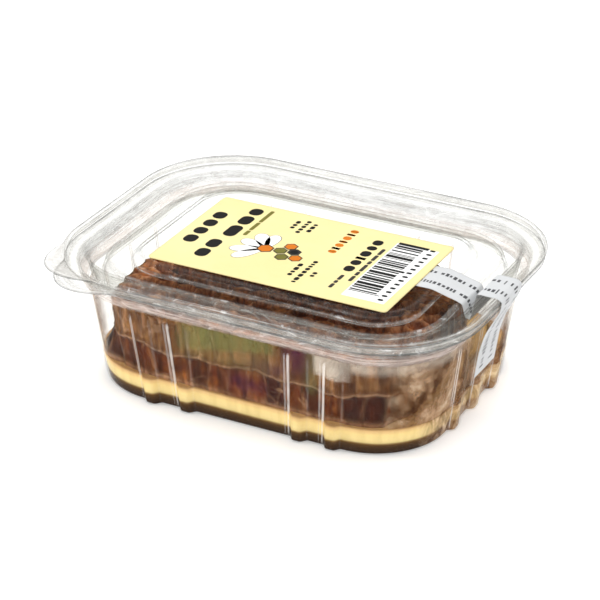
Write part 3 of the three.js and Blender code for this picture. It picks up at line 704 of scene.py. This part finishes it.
# ------------------------------------------------------------------ honey
def honey_material():
    m, nt, out = material("honey")
    tc = nt.nodes.new("ShaderNodeTexCoord")
    obj = tc.outputs["Object"]
    sep = nt.nodes.new("ShaderNodeSeparateXYZ")
    nt.links.new(obj, sep.inputs[0])
    wav = noise(nt, mapping(nt, obj, (60, 60, 160)), 1.0, 4, 0.6, 0.4)
    upright = noise(nt, mapping(nt, obj, (520, 520, 40)), 1.0, 3, 0.6)
    z = math_node(nt, "ADD", math_node(nt, "MULTIPLY", sep.outputs[2], 1000.0), math_node(nt, "MULTIPLY", math_node(nt, "SUBTRACT", wav, 0.5), 0.7))
    zz = math_node(nt, "DIVIDE", z, 8.0)
    col = ramp(nt, zz, [(0.0, (0.030, 0.015, 0.009)), (0.22, (0.050, 0.024, 0.010)), (2.9 / 8, (0.095, 0.045, 0.014)), (3.3 / 8, (0.32, 0.20, 0.070)), (3.7 / 8, (0.80, 0.62, 0.27)), (4.6 / 8, (0.90, 0.71, 0.32)), (6.0 / 8, (0.93, 0.70, 0.30)), (7.1 / 8, (0.80, 0.52, 0.22)), (7.6 / 8, (0.55, 0.30, 0.12))])
    pale = ramp(nt, upright, [(0.35, (0.90, 0.88, 0.84)), (0.62, (1.0, 1.0, 1.0))])
    col = mix_rgb(nt, 1.0, col, pale, "MULTIPLY")
    end = ramp(nt, math_node(nt, "MULTIPLY", sep.outputs[0], 1000.0 / 60), [(44.5 / 60, (0, 0, 0)), (47.5 / 60, (1, 1, 1))])
    lump = noise(nt, mapping(nt, obj, (240, 240, 160), (3, 3, 1)), 1.0, 4, 0.65, 1.2)
    crust = ramp(nt, lump, [(0.38, (0.13, 0.055, 0.020)), (0.50, (0.42, 0.25, 0.13)), (0.64, (0.78, 0.60, 0.40))])
    col = mix_rgb(nt, math_node(nt, "MULTIPLY", end, 0.78), col, crust)
    bs = node(nt, "ShaderNodeBsdfPrincipled", in_Roughness=0.10, in_IOR=1.49)
    bs.inputs["Specular IOR Level"].default_value = 0.08
    bs.inputs["Coat Weight"].default_value = 0.05
    bs.inputs["Coat Roughness"].default_value = 0.03
    nt.links.new(col, bs.inputs["Base Color"])
    # light that comes through the liquid
    nt.links.new(col, bs.inputs["Emission Color"])
    bs.inputs["Emission Strength"].default_value = 0.10
    nt.links.new(bump(nt, wav, 0.0006, 0.4), bs.inputs["Normal"])
    nt.links.new(bs.outputs[0], out.inputs[0])
    return m


H_IN = FILM - 0.15                       # reaches just into the wall
honey_rows = [row(wall(0.10, H_IN + 0.45), 1.1), row(wall(0.35, H_IN + 0.05), 1.2), row(wall(1.3, H_IN), 1.25), row(wall(3.2, H_IN), 1.2), row(wall(5.2, H_IN), 1.15), row(wall(HONEY_TOP, H_IN), 1.1), row(wall(HONEY_TOP - 0.25, H_IN + 1.0), 0.6), row(wall(HONEY_TOP - 0.4, H_IN + 2.4), 0.0), row(wall(HONEY_TOP - 0.4, H_IN + 9), 0.0)]
honey = loft("honey_pool", RG, soften(honey_rows, 1), (0, 0, 0.10), (0, 0, HONEY_TOP - 0.4))
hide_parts("honey"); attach(honey, "root")
honey.data.materials.append(honey_material())


# ------------------------------------------------------------------ honey smeared on the inside of the wall
def smooth(x, lo, hi):
    t = np.clip((x - lo) / (hi - lo), 0, 1)
    return t * t * (3 - 2 * t)


def smear_mesh():
    zs = np.linspace(2.4, 26.4, 33)
    share = lambda z: float(np.interp(z, [0.6, 1.9, 3.2, 12, 22, 24, 25.4], [1.3, 1.25, 1.2, 1.0, 0.8, 0.45, 0]))
    rings = [RG.ring(*row(wall(z, FILM + 0.12), share(z))) for z in zs]
    rings += [RG.ring(*row(wall(z, FILM + 0.26), share(z))) for z in zs[::-1]]
    n, m = RG.n, len(rings)
    V = np.vstack(rings)
    i = np.arange(n); j = (i + 1) % n
    F = np.vstack([np.stack([k * n + i, k * n + j, ((k + 1) % m) * n + j, ((k + 1) % m) * n + i], 1) for k in range(m)]).tolist()
    x, y, z = V[:, 0], V[:, 1], V[:, 2]
    front = 1 - smooth(y, -34.0, -30.0)
    deep = np.clip((25.5 - z) / 15.0, 0, 1)
    right_ = smooth(x + 0.25 * y, 29.5, 38.0)
    tan = right_ * (0.50 + 0.50 * deep) + smooth(-x, 38.5, 45) * (0.45 + 0.45 * deep) * (1 - 0.85 * smooth(y, -27, -18))
    tan = tan + smooth(x, 45.5, 47.5) * (1 - smooth(z, 7.5, 10.5)) * 0.8
    tan *= 1 - 0.80 * smooth(y, 3, 20) * smooth(z, 9, 15)
    tan *= 0.30 + 0.70 * (1 - smooth(y, 22, 34))
    brown = smooth(x + 0.3 * y, 38.0, 43.0) * (1 - smooth(z, 2.6, 5.2)) * 0.85
    brown += smooth(x, 46, 48) * np.exp(-((y + 12.6) / 1.3) ** 2) * smooth(z, 8, 14) * 0.7
    brown += smooth(x, 46, 48) * np.exp(-((y - 9.5) / 1.0) ** 2) * 0.4
    pale = smooth(x, 21.0, 22.4) * (1 - smooth(x, 29.5, 32.0)) * (y < -8) * smooth(z, 20.4, 21.6) * 0.80
    pale += smooth(x, 30.0, 33.0) * (y < -8) * smooth(z, 22.5, 25.5) * 0.50
    # green and violet: painted iridescent reflections of a thin film on the front wall
    green = front * smooth(x, -18, -13) * (1 - smooth(x, 7, 14)) * (0.25 * smooth(z, 15.0, 18.0) + 0.75 * smooth(z, 18.2 + 0.22 * np.clip(x + 12, 0, 20), 20.4 + 0.20 * np.clip(x + 12, 0, 20))) * 0.72
    green += front * np.exp(-((x - 20.6) / 1.4) ** 2) * smooth(z, 13, 17) * 0.40
    violet = front * np.exp(-((x - 16.5) / 3.8) ** 2) * smooth(z, 19.0, 22.5) * 0.62
    violet += front * np.exp(-((x - 2.5) / 5.0) ** 2) * np.exp(-((z - 12.6) / 2.6) ** 2) * 0.50
    violet += front * np.exp(-((x - 8.5) / 5.5) ** 2) * np.exp(-((z - 19.0) / 2.2) ** 2) * 0.40
    return new_object("honey_smear", V, F, attrs={"tan": tan, "brown": brown, "pale": pale, "green": green, "violet": violet})


def smear_material():
    """Thin honey film: tan where it is thick, pale where it has dried. The green and violet patches are the oily
    colours of a thin film, painted in as fixed iridescent reflections.
    """
    m, nt, out = material("honey_smear")
    tc = nt.nodes.new("ShaderNodeTexCoord")
    obj = tc.outputs["Object"]
    upright = noise(nt, mapping(nt, obj, (260, 260, 34)), 1.0, 4, 0.6, 0.6)
    fine = noise(nt, mapping(nt, obj, (900, 900, 90)), 1.0, 3, 0.6)
    cloud = noise(nt, mapping(nt, obj, (90, 90, 90)), 1.0, 4, 0.6, 1.0)
    vary = math_node(nt, "ADD", math_node(nt, "MULTIPLY", upright, 0.6), math_node(nt, "MULTIPLY", fine, 0.4))
    amount = ramp(nt, vary, [(0.38, (0.45, 0.45, 0.45)), (0.52, (0.95, 0.95, 0.95)), (0.66, (1.4, 1.4, 1.4))])
    clouds = ramp(nt, cloud, [(0.34, (0.35, 0.35, 0.35)), (0.56, (1.0, 1.0, 1.0))])
    lumps = noise(nt, mapping(nt, obj, (150, 150, 170), (4, 1, 7)), 1.0, 5, 0.62, 0.35)
    tcol = ramp(nt, math_node(nt, "ADD", math_node(nt, "MULTIPLY", vary, 0.16), math_node(nt, "ADD", math_node(nt, "MULTIPLY", cloud, 0.40), math_node(nt, "MULTIPLY", lumps, 0.44))), [(0.38, (0.10, 0.038, 0.014)), (0.46, (0.26, 0.125, 0.055)), (0.54, (0.50, 0.31, 0.18)), (0.64, (0.84, 0.68, 0.50))])
    tr = node(nt, "ShaderNodeBsdfTransparent", in_Color=(1, 1, 1, 1))

    def layer(under, name, colour, factor, gain):
        d = nt.nodes.new("ShaderNodeBsdfDiffuse")
        if hasattr(colour, "is_output"):
            nt.links.new(colour, d.inputs[0])
        else:
            d.inputs[0].default_value = (*colour, 1)
        a = math_node(nt, "MULTIPLY", math_node(nt, "MULTIPLY", attribute(nt, name), factor), gain, True)
        return mix_shader(nt, a, under, d.outputs[0])

    sh = layer(tr.outputs[0], "tan", tcol, ramp(nt, lumps, [(0.36, (0.35, 0.35, 0.35)), (0.50, (0.85, 0.85, 0.85)), (0.64, (1.35, 1.35, 1.35))]), 0.72)
    sh = layer(sh, "brown", (0.16, 0.075, 0.032), amount, 0.72)
    sh = layer(sh, "pale", (0.90, 0.79, 0.66), clouds, 0.60)
    # painted iridescent reflections: green and violet thin-film colours
    sh = layer(sh, "green", (0.31, 0.31, 0.10), amount, 0.44)
    sh = layer(sh, "violet", (0.13, 0.020, 0.085), clouds, 0.46)
    nt.links.new(sh, out.inputs[0])
    return m


smear = smear_mesh()
smear.data.materials.append(smear_material())
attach(smear, "root")


# ------------------------------------------------------------------ label
lab_lo, lab_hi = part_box("label")
LX0, LY0, LX1, LY1 = lab_lo[0] / MM, lab_lo[1] / MM, lab_hi[0] / MM, lab_hi[1] / MM
LZ1 = lab_hi[2] / MM - 0.05


def paper_material(name, stops, rough=0.6, scale=1.0, spec=0.12):
    m, nt, out = material(name)
    tc = nt.nodes.new("ShaderNodeTexCoord")
    obj = tc.outputs["Object"]
    f1 = noise(nt, mapping(nt, obj, (300 * scale, 300 * scale, 300)), 1.0, 5, 0.65)
    f2 = noise(nt, mapping(nt, obj, (35, 35, 35)), 1.0, 3, 0.5)
    fac = math_node(nt, "ADD", math_node(nt, "MULTIPLY", f1, 0.35), math_node(nt, "MULTIPLY", f2, 0.65))
    bs = node(nt, "ShaderNodeBsdfPrincipled", in_Roughness=rough)
    bs.inputs["Specular IOR Level"].default_value = spec
    nt.links.new(ramp(nt, fac, stops), bs.inputs["Base Color"])
    nt.links.new(bump(nt, math_node(nt, "ADD", f1, math_node(nt, "MULTIPLY", f2, 2.0)), 0.00008, 0.5), bs.inputs["Normal"])
    nt.links.new(bs.outputs[0], out.inputs[0])
    return m


def label_z(x, y):
    """The label lies flat on the panel."""
    return LZ1 + 0.0 * x


def label_mesh():
    nx, ny = 120, 74
    xs, ys = np.linspace(LX0, LX1, nx), np.linspace(LY0, LY1, ny)
    X, Y = np.meshgrid(xs, ys)
    r = 1.2
    def pull(X, Y):
        for sx, ex in ((1, LX1), (-1, LX0)):
            for sy, ey in ((1, LY1), (-1, LY0)):
                cx, cy = ex - sx * r, ey - sy * r
                m = ((X - cx) * sx > 0) & ((Y - cy) * sy > 0)
                d = np.hypot(X - cx, Y - cy)
                mx = np.maximum(abs(X - cx), abs(Y - cy))
                k = np.where(d > 0, mx / np.maximum(d, 1e-9), 1)
                X = np.where(m, cx + (X - cx) * k, X); Y = np.where(m, cy + (Y - cy) * k, Y)
        return X, Y
    X, Y = pull(X, Y)
    Z = label_z(X, Y)
    top = np.stack([X, Y, Z], -1).reshape(-1, 3)
    bot = np.stack([X, Y, Z - 0.2], -1).reshape(-1, 3)
    n = nx * ny
    idx = np.arange(n).reshape(ny, nx)
    q = np.stack([idx[:-1, :-1], idx[:-1, 1:], idx[1:, 1:], idx[1:, :-1]], -1).reshape(-1, 4)
    F = q.tolist() + (q[:, ::-1] + n).tolist()
    loop = np.concatenate([idx[0, :], idx[1:, -1], idx[-1, -2::-1], idx[-2:0:-1, 0]])
    for a, b in zip(loop, np.roll(loop, -1)):
        F.append([int(b), int(a), int(a + n), int(b + n)])
    return new_object("label_sheet", np.vstack([top, bot]), F)


label = label_mesh()
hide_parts("label"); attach(label, "root")
label.data.materials.append(paper_material("label_paper", [(0.3, (0.83, 0.715, 0.345)), (0.7, (0.88, 0.77, 0.41))]))


class Prints:
    """Flat printed shapes that lie on the label, gathered by colour."""
    def __init__(self):
        self.v, self.f = [], []

    def poly(self, pts, lift=0.02, height=None):
        b = len(self.v)
        pts = np.asarray(pts, float)
        z = (label_z(pts[:, 0], pts[:, 1]) if height is None else height(pts)) + lift
        self.v += np.column_stack([pts, z]).tolist()
        self.f.append(list(range(b, b + len(pts))))

    def bar(self, x0, y0, x1, y1, w, lift=0.02, round_=0.45, n=5):
        d = np.array([x1 - x0, y1 - y0], float); L = np.hypot(*d); d /= L
        p = np.array([-d[1], d[0]])
        r = w * round_
        pts = []
        for (ex, s) in ((L, 1), (0, -1)):
            for k in range(2 * n + 1):
                a = -math.pi / 2 + math.pi * k / (2 * n)
                u, v = math.cos(a), math.sin(a)
                su = (ex - s * r) + s * r * u
                off = (w / 2 - r) * (1 if v * s > 0 else -1 if v * s < 0 else 0) + r * v * s
                pts.append(np.array([x0, y0]) + d * su + p * off)
        self.poly(pts, lift)

    def build(self, name, mat):
        ob = new_object(name, self.v, self.f, smooth=False)
        ob.data.materials.append(mat)
        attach(ob, "root")
        return ob


def ink(name, a, b):
    return paper_material(name, [(0.3, a), (0.7, b)], 0.55, 3.0, 0.10)


black, orange, white, olive, line = Prints(), Prints(), Prints(), Prints(), Prints()


def word(pr, x, y0, y1, w, parts, lift=0.02):
    """A heading stands as blocks of uneven length on one line."""
    tot = sum(parts) + 0.28 * w * (len(parts) - 1)
    k = (y1 - y0) / tot
    y = y0
    for i, p in enumerate(parts):
        pr.bar(x, y, x, y + p * k, w, lift)
        y += (p + 0.28 * w) * k


word(black, -27.9, -12.2, 7.6, 3.6, [4.4, 4.0, 4.2, 4.2])
word(black, -21.2, -18.2, -7.4, 3.6, [5.0, 5.2])
word(black, -20.4, -4.6, 13.6, 3.6, [7.0, 5.4, 4.2])
word(olive, -16.6, -2.2, 14.0, 1.1, [3.0, 5.0, 7.5])


def hexagon(cx, cy, r, turn=0.0):
    return [(cx + r * math.cos(math.radians(60 * k + turn)), cy + r * math.sin(math.radians(60 * k + turn))) for k in range(6)]


def petal(cx, cy, ang, length, width, n=22):
    ca, sa = math.cos(math.radians(ang)), math.sin(math.radians(ang))
    pts = []
    for k in range(n):
        t = 2 * math.pi * k / n
        u = length * (0.5 + 0.5 * math.cos(t)); v = width * 0.5 * math.sin(t) * (0.72 + 0.28 * math.cos(t))
        pts.append((cx + u * ca - v * sa, cy + u * sa + v * ca))
    return pts


# a plain flower over a few comb cells
FX, FY = -8.0, -6.6
for ang, ln, wd in ((205, 9.2, 4.6), (235, 9.6, 4.6), (125, 8.8, 5.2), (95, 8.2, 4.6), (165, 8.0, 4.8)):
    line.poly(petal(FX, FY, ang, ln + 0.16, wd + 0.3), 0.018)
    white.poly(petal(FX - 0.02, FY, ang, ln, wd), 0.032)
line.poly(hexagon(FX, FY, 2.35, 30), 0.040)
orange.poly(hexagon(FX, FY, 2.0, 30), 0.052)
for hx, hy, kind in ((FX + 4.0, FY + 0.6, 0), (FX + 7.6, FY + 1.4, 1), (FX + 5.4, FY + 3.9, 2), (FX + 5.9, FY - 2.5, 3), (FX + 9.4, FY - 1.6, 4)):
    line.poly(hexagon(hx, hy, 1.95, 30), 0.018)
    (orange if kind in (2, 4) else olive if kind in (0, 3) else black).poly(hexagon(hx, hy, 1.6 if kind != 1 else 1.2, 30), 0.032)

for x, y0, y1 in ((-7.7, 7.0, 11.9), (-5.2, 5.2, 13.1), (-2.9, 6.9, 12.1), (4.3, -17.4, -10.1), (7.0, -20.4, -7.1), (9.7, -15.6, -12.8)):
    parts = [rng.uniform(0.8, 1.7) for _ in range(max(2, int((y1 - y0) / 1.5)))]
    word(black, x, y0, y1, 1.25, parts)
word(orange, 7.9, -1.2, 13.6, 2.3, [2.2, 1.2, 2.4, 1.6, 2.6, 1.4, 2.2])
word(black, 16.1, -8.7, 11.0, 2.7, [3.4, 3.0, 1.2, 3.4, 2.6, 3.2])
word(line, 16.4, -18.8, -11.0, 1.0, [2.2, 1.4, 2.6])
word(line, 19.2, -13.4, 6.9, 1.0, [2.6, 1.8, 3.4, 1.6, 2.8, 3.0])
# white field with plain bars
white.poly([(20.6, -20.9), (32.3, -20.9), (32.3, 11.9), (20.6, 11.9)], 0.015)
y = -17.6
while y < 11.2:
    w = rng.choice([0.33, 0.33, 0.66, 0.66, 0.99, 1.32])
    x1 = 29.4 if (y < -17.0 or y > 10.2 or abs(y + 3.2) < 0.8) else 28.4
    black.poly([(21.0, y), (x1, y), (x1, y + w), (21.0, y + w)], 0.028)
    y += w + rng.choice([0.33, 0.33, 0.66, 0.99])
yy = -19.6
while yy < 11.0:
    black.bar(30.6, yy, 30.6, yy + 1.0, 1.5, 0.028, 0.3)
    yy += 2.35

black.build("print_black", ink("ink_black", (0.008, 0.008, 0.008), (0.016, 0.015, 0.014)))
orange.build("print_orange", ink("ink_orange", (0.60, 0.16, 0.012), (0.72, 0.22, 0.02)))
white.build("print_white", ink("ink_white", (0.90, 0.90, 0.88), (0.96, 0.96, 0.95)))
olive.build("print_olive", ink("ink_olive", (0.16, 0.15, 0.03), (0.22, 0.20, 0.05)))
line.build("print_line", ink("ink_line", (0.03, 0.028, 0.025), (0.06, 0.055, 0.05)))

# ------------------------------------------------------------------ seal strip
st_lo, st_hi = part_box("seal_strip")
SY0, SY1 = st_lo[1] / MM, st_hi[1] / MM
STRIP = np.array([
    [33.0, PANEL_TOP + 0.12], [36.0, PANEL_TOP + 0.12], [38.7, PANEL_TOP + 0.08], [40.6, PANEL_TOP - 0.28], [43.2, PANEL_TOP - 0.95], [45.2, PANEL_TOP - 1.45],
    [46.3, MOAT_TOP + 0.58], [47.35, MOAT_TOP - 0.05], [48.2, TROUGH_TOP + 0.5], [48.9, TROUGH_TOP + 0.2], [49.7, TROUGH_TOP + 0.5],
    [50.9, LID_TOP - 0.8], [51.8, LID_TOP + 0.08], [53.0, LID_TOP + 0.14], [54.5, LID_TOP + 0.14], [56.3, LID_TOP + 0.12], [57.2, LID_TOP - 0.25],
    [57.75, LID_TOP - 0.8], [57.7, LID_TOP - 1.6], [57.3, FLANGE_TOP - 0.7], [55.4, 29.0], [53.6, 25.2], [52.5, 21.5], [51.7, 17.0], [51.1, 12.7]])


def strip_surface(n=260):
    P = STRIP
    out = []
    m = len(P)
    for i in range(m - 1):
        p0 = P[max(i - 1, 0)]; p1 = P[i]; p2 = P[i + 1]; p3 = P[min(i + 2, m - 1)]
        t = np.linspace(0, 1, 30, endpoint=(i == m - 2))[:, None]
        out.append(0.5 * ((2 * p1) + (-p0 + p2) * t + (2 * p0 - 5 * p1 + 4 * p2 - p3) * t ** 2 + (-p0 + 3 * p1 - 3 * p2 + p3) * t ** 3))
    C = np.vstack(out)
    s = np.concatenate([[0], np.cumsum(np.linalg.norm(np.diff(C, axis=0), axis=1))])
    u = np.linspace(0, s[-1], n)
    Q = np.stack([np.interp(u, s, C[:, 0]), np.interp(u, s, C[:, 1])], 1)
    T = np.gradient(Q, axis=0)
    N = np.stack([-T[:, 1], T[:, 0]], 1) / np.linalg.norm(T, axis=1)[:, None]
    return Q, N, u


SQ, SN, SU = strip_surface()


def strip_point(s, y, lift):
    x = np.interp(s, SU, SQ[:, 0]); z = np.interp(s, SU, SQ[:, 1])
    nx = np.interp(s, SU, SN[:, 0]); nz = np.interp(s, SU, SN[:, 1])
    k = 0.05 * np.sin(np.asarray(s) * 0.9 + np.asarray(y) * 0.5)
    return np.stack([x + nx * (lift + k * 0.5), np.asarray(y) + 0 * x, z + nz * (lift + k * 0.5)], -1)


def strip_mesh():
    ny = 26
    ys = np.linspace(SY0, SY1, ny)
    G = np.array([strip_point(SU, np.full_like(SU, y), 0.10) for y in ys])
    B = np.array([strip_point(SU, np.full_like(SU, y), 0.0) for y in ys])
    n = len(SU)
    V = np.vstack([G.reshape(-1, 3), B.reshape(-1, 3)])
    idx = np.arange(ny * n).reshape(ny, n)
    q = np.stack([idx[:-1, :-1], idx[:-1, 1:], idx[1:, 1:], idx[1:, :-1]], -1).reshape(-1, 4)
    F = q.tolist() + (q[:, ::-1] + ny * n).tolist()
    loop = np.concatenate([idx[0, :], idx[1:, -1], idx[-1, -2::-1], idx[-2:0:-1, 0]])
    for a, b in zip(loop, np.roll(loop, -1)):
        F.append([int(b), int(a), int(a + ny * n), int(b + ny * n)])
    return new_object("seal_paper", V, F)


strip = strip_mesh()
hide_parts("seal_strip"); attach(strip, "root")
strip.data.materials.append(paper_material("strip_paper", [(0.3, (0.58, 0.59, 0.595)), (0.7, (0.68, 0.69, 0.70))], 0.6))

marks_v, marks_f = [], []
for yc in (-3.9, 1.6):
    s = 1.2
    while s < SU[-1] - 1.5:
        down = s > 30.5
        run = rng.uniform(0.30, 0.55) if down else rng.uniform(0.45, 0.95)
        hgt = rng.choice([1.6, 2.1, 2.3, 2.5]) if down else rng.choice([1.0, 1.35, 1.35, 1.5])
        b = len(marks_v)
        ss = np.linspace(s, s + run, 5)
        lo = strip_point(ss, np.full(5, yc - hgt / 2), 0.125)
        hi = strip_point(ss, np.full(5, yc + hgt / 2), 0.125)
        marks_v += lo.tolist() + hi.tolist()
        for k in range(4):
            marks_f.append([b + k, b + k + 1, b + 6 + k, b + 5 + k])
        s += run + (rng.choice([0.55, 0.65, 0.8, 1.4]) if down else rng.choice([0.32, 0.4, 0.45, 0.5, 1.3]))
marks = new_object("seal_marks", marks_v, marks_f, smooth=False)
marks.data.materials.append(ink("ink_seal", (0.06, 0.06, 0.065), (0.12, 0.12, 0.125)))
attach(marks, "root")

# ------------------------------------------------------------------ floor, light, camera
floor = new_object("floor", [(-3000, -3000, -0.05), (3000, -3000, -0.05), (3000, 3000, -0.05), (-3000, 3000, -0.05)], [[0, 1, 2, 3]], smooth=False)
fm, fnt, fout = material("floor_white")
fb = node(fnt, "ShaderNodeBsdfPrincipled", in_Roughness=0.7)
fb.inputs["Base Color"].default_value = (0.97, 0.97, 0.97, 1)
fb.inputs["Emission Color"].default_value = (1, 1, 1, 1)
fb.inputs["Emission Strength"].default_value = 0.30
fb.inputs["Specular IOR Level"].default_value = 0.2
fnt.links.new(fb.outputs[0], fout.inputs[0])
floor.data.materials.append(fm)

sc = bpy.context.scene
world = bpy.data.worlds.new("studio")
world.use_nodes = True
wn = world.node_tree
wn.nodes.clear()
wout = wn.nodes.new("ShaderNodeOutputWorld")
bg = wn.nodes.new("ShaderNodeBackground")
wtc = wn.nodes.new("ShaderNodeTexCoord")
wsep = wn.nodes.new("ShaderNodeSeparateXYZ")
wn.links.new(wtc.outputs["Generated"], wsep.inputs[0])
up = ramp(wn, math_node(wn, "ADD", math_node(wn, "MULTIPLY", wsep.outputs[2], 0.5), 0.5), [(0.45, (0.45, 0.45, 0.45)), (0.56, (0.50, 0.50, 0.50)), (0.72, (0.75, 0.75, 0.75)), (1.0, (0.95, 0.95, 0.95))])
wn.links.new(up, bg.inputs[0])
bg.inputs[1].default_value = 0.72
wn.links.new(bg.outputs[0], wout.inputs[0])
sc.world = world


def area(name, loc, target, size, power, size_y=None, color=(1, 1, 1)):
    L = bpy.data.lights.new(name, "AREA")
    L.shape = "RECTANGLE"
    L.size, L.size_y = size, size_y or size
    L.energy = power
    L.color = color
    ob = bpy.data.objects.new(name, L)
    ob.location = Vector(loc)
    ob.rotation_euler = (Vector(target) - Vector(loc)).to_track_quat("-Z", "Y").to_euler()
    sc.collection.objects.link(ob)
    return ob


area("top_box", (0.0, 0.15, 1.1), (0, 0, 0.02), 1.0, 8.8, 0.7)
area("left_box", (-0.8, -0.45, 0.55), (0, 0, 0.02), 0.12, 2.2, 0.7)
area("front_box", (0.45, -1.0, 0.6), (0, 0, 0.02), 0.5, 2.4, 0.25)

cam = bpy.data.cameras.new("camera")
cam.sensor_width = 36.0
cam.lens = 2526.48 / 600 * 36
co = bpy.data.objects.new("camera", cam)
az, el = math.radians(27.438), math.radians(27.052)
back = Vector((math.sin(az) * math.cos(el), -math.cos(az) * math.cos(el), math.sin(el)))
right = Vector((math.cos(az), math.sin(az), 0))
upv = back.cross(right)
C = (back * 11.513 + right * -0.023 + upv * 0.298) * 0.0575
R = Matrix((right, upv, back)).transposed().to_4x4()
co.matrix_world = Matrix.Translation(C) @ R
cam.clip_start, cam.clip_end = 0.01, 20
sc.collection.objects.link(co)
sc.camera = co

sc.view_settings.view_transform = "Standard"
sc.view_settings.look = "None"
sc.view_settings.exposure = 0.0
sc.cycles.max_bounces = 12
sc.cycles.diffuse_bounces = 4
sc.cycles.glossy_bounces = 4
sc.cycles.transparent_max_bounces = 40
sc.cycles.transmission_bounces = 8
sc.cycles.caustics_reflective = False
sc.cycles.caustics_refractive = False
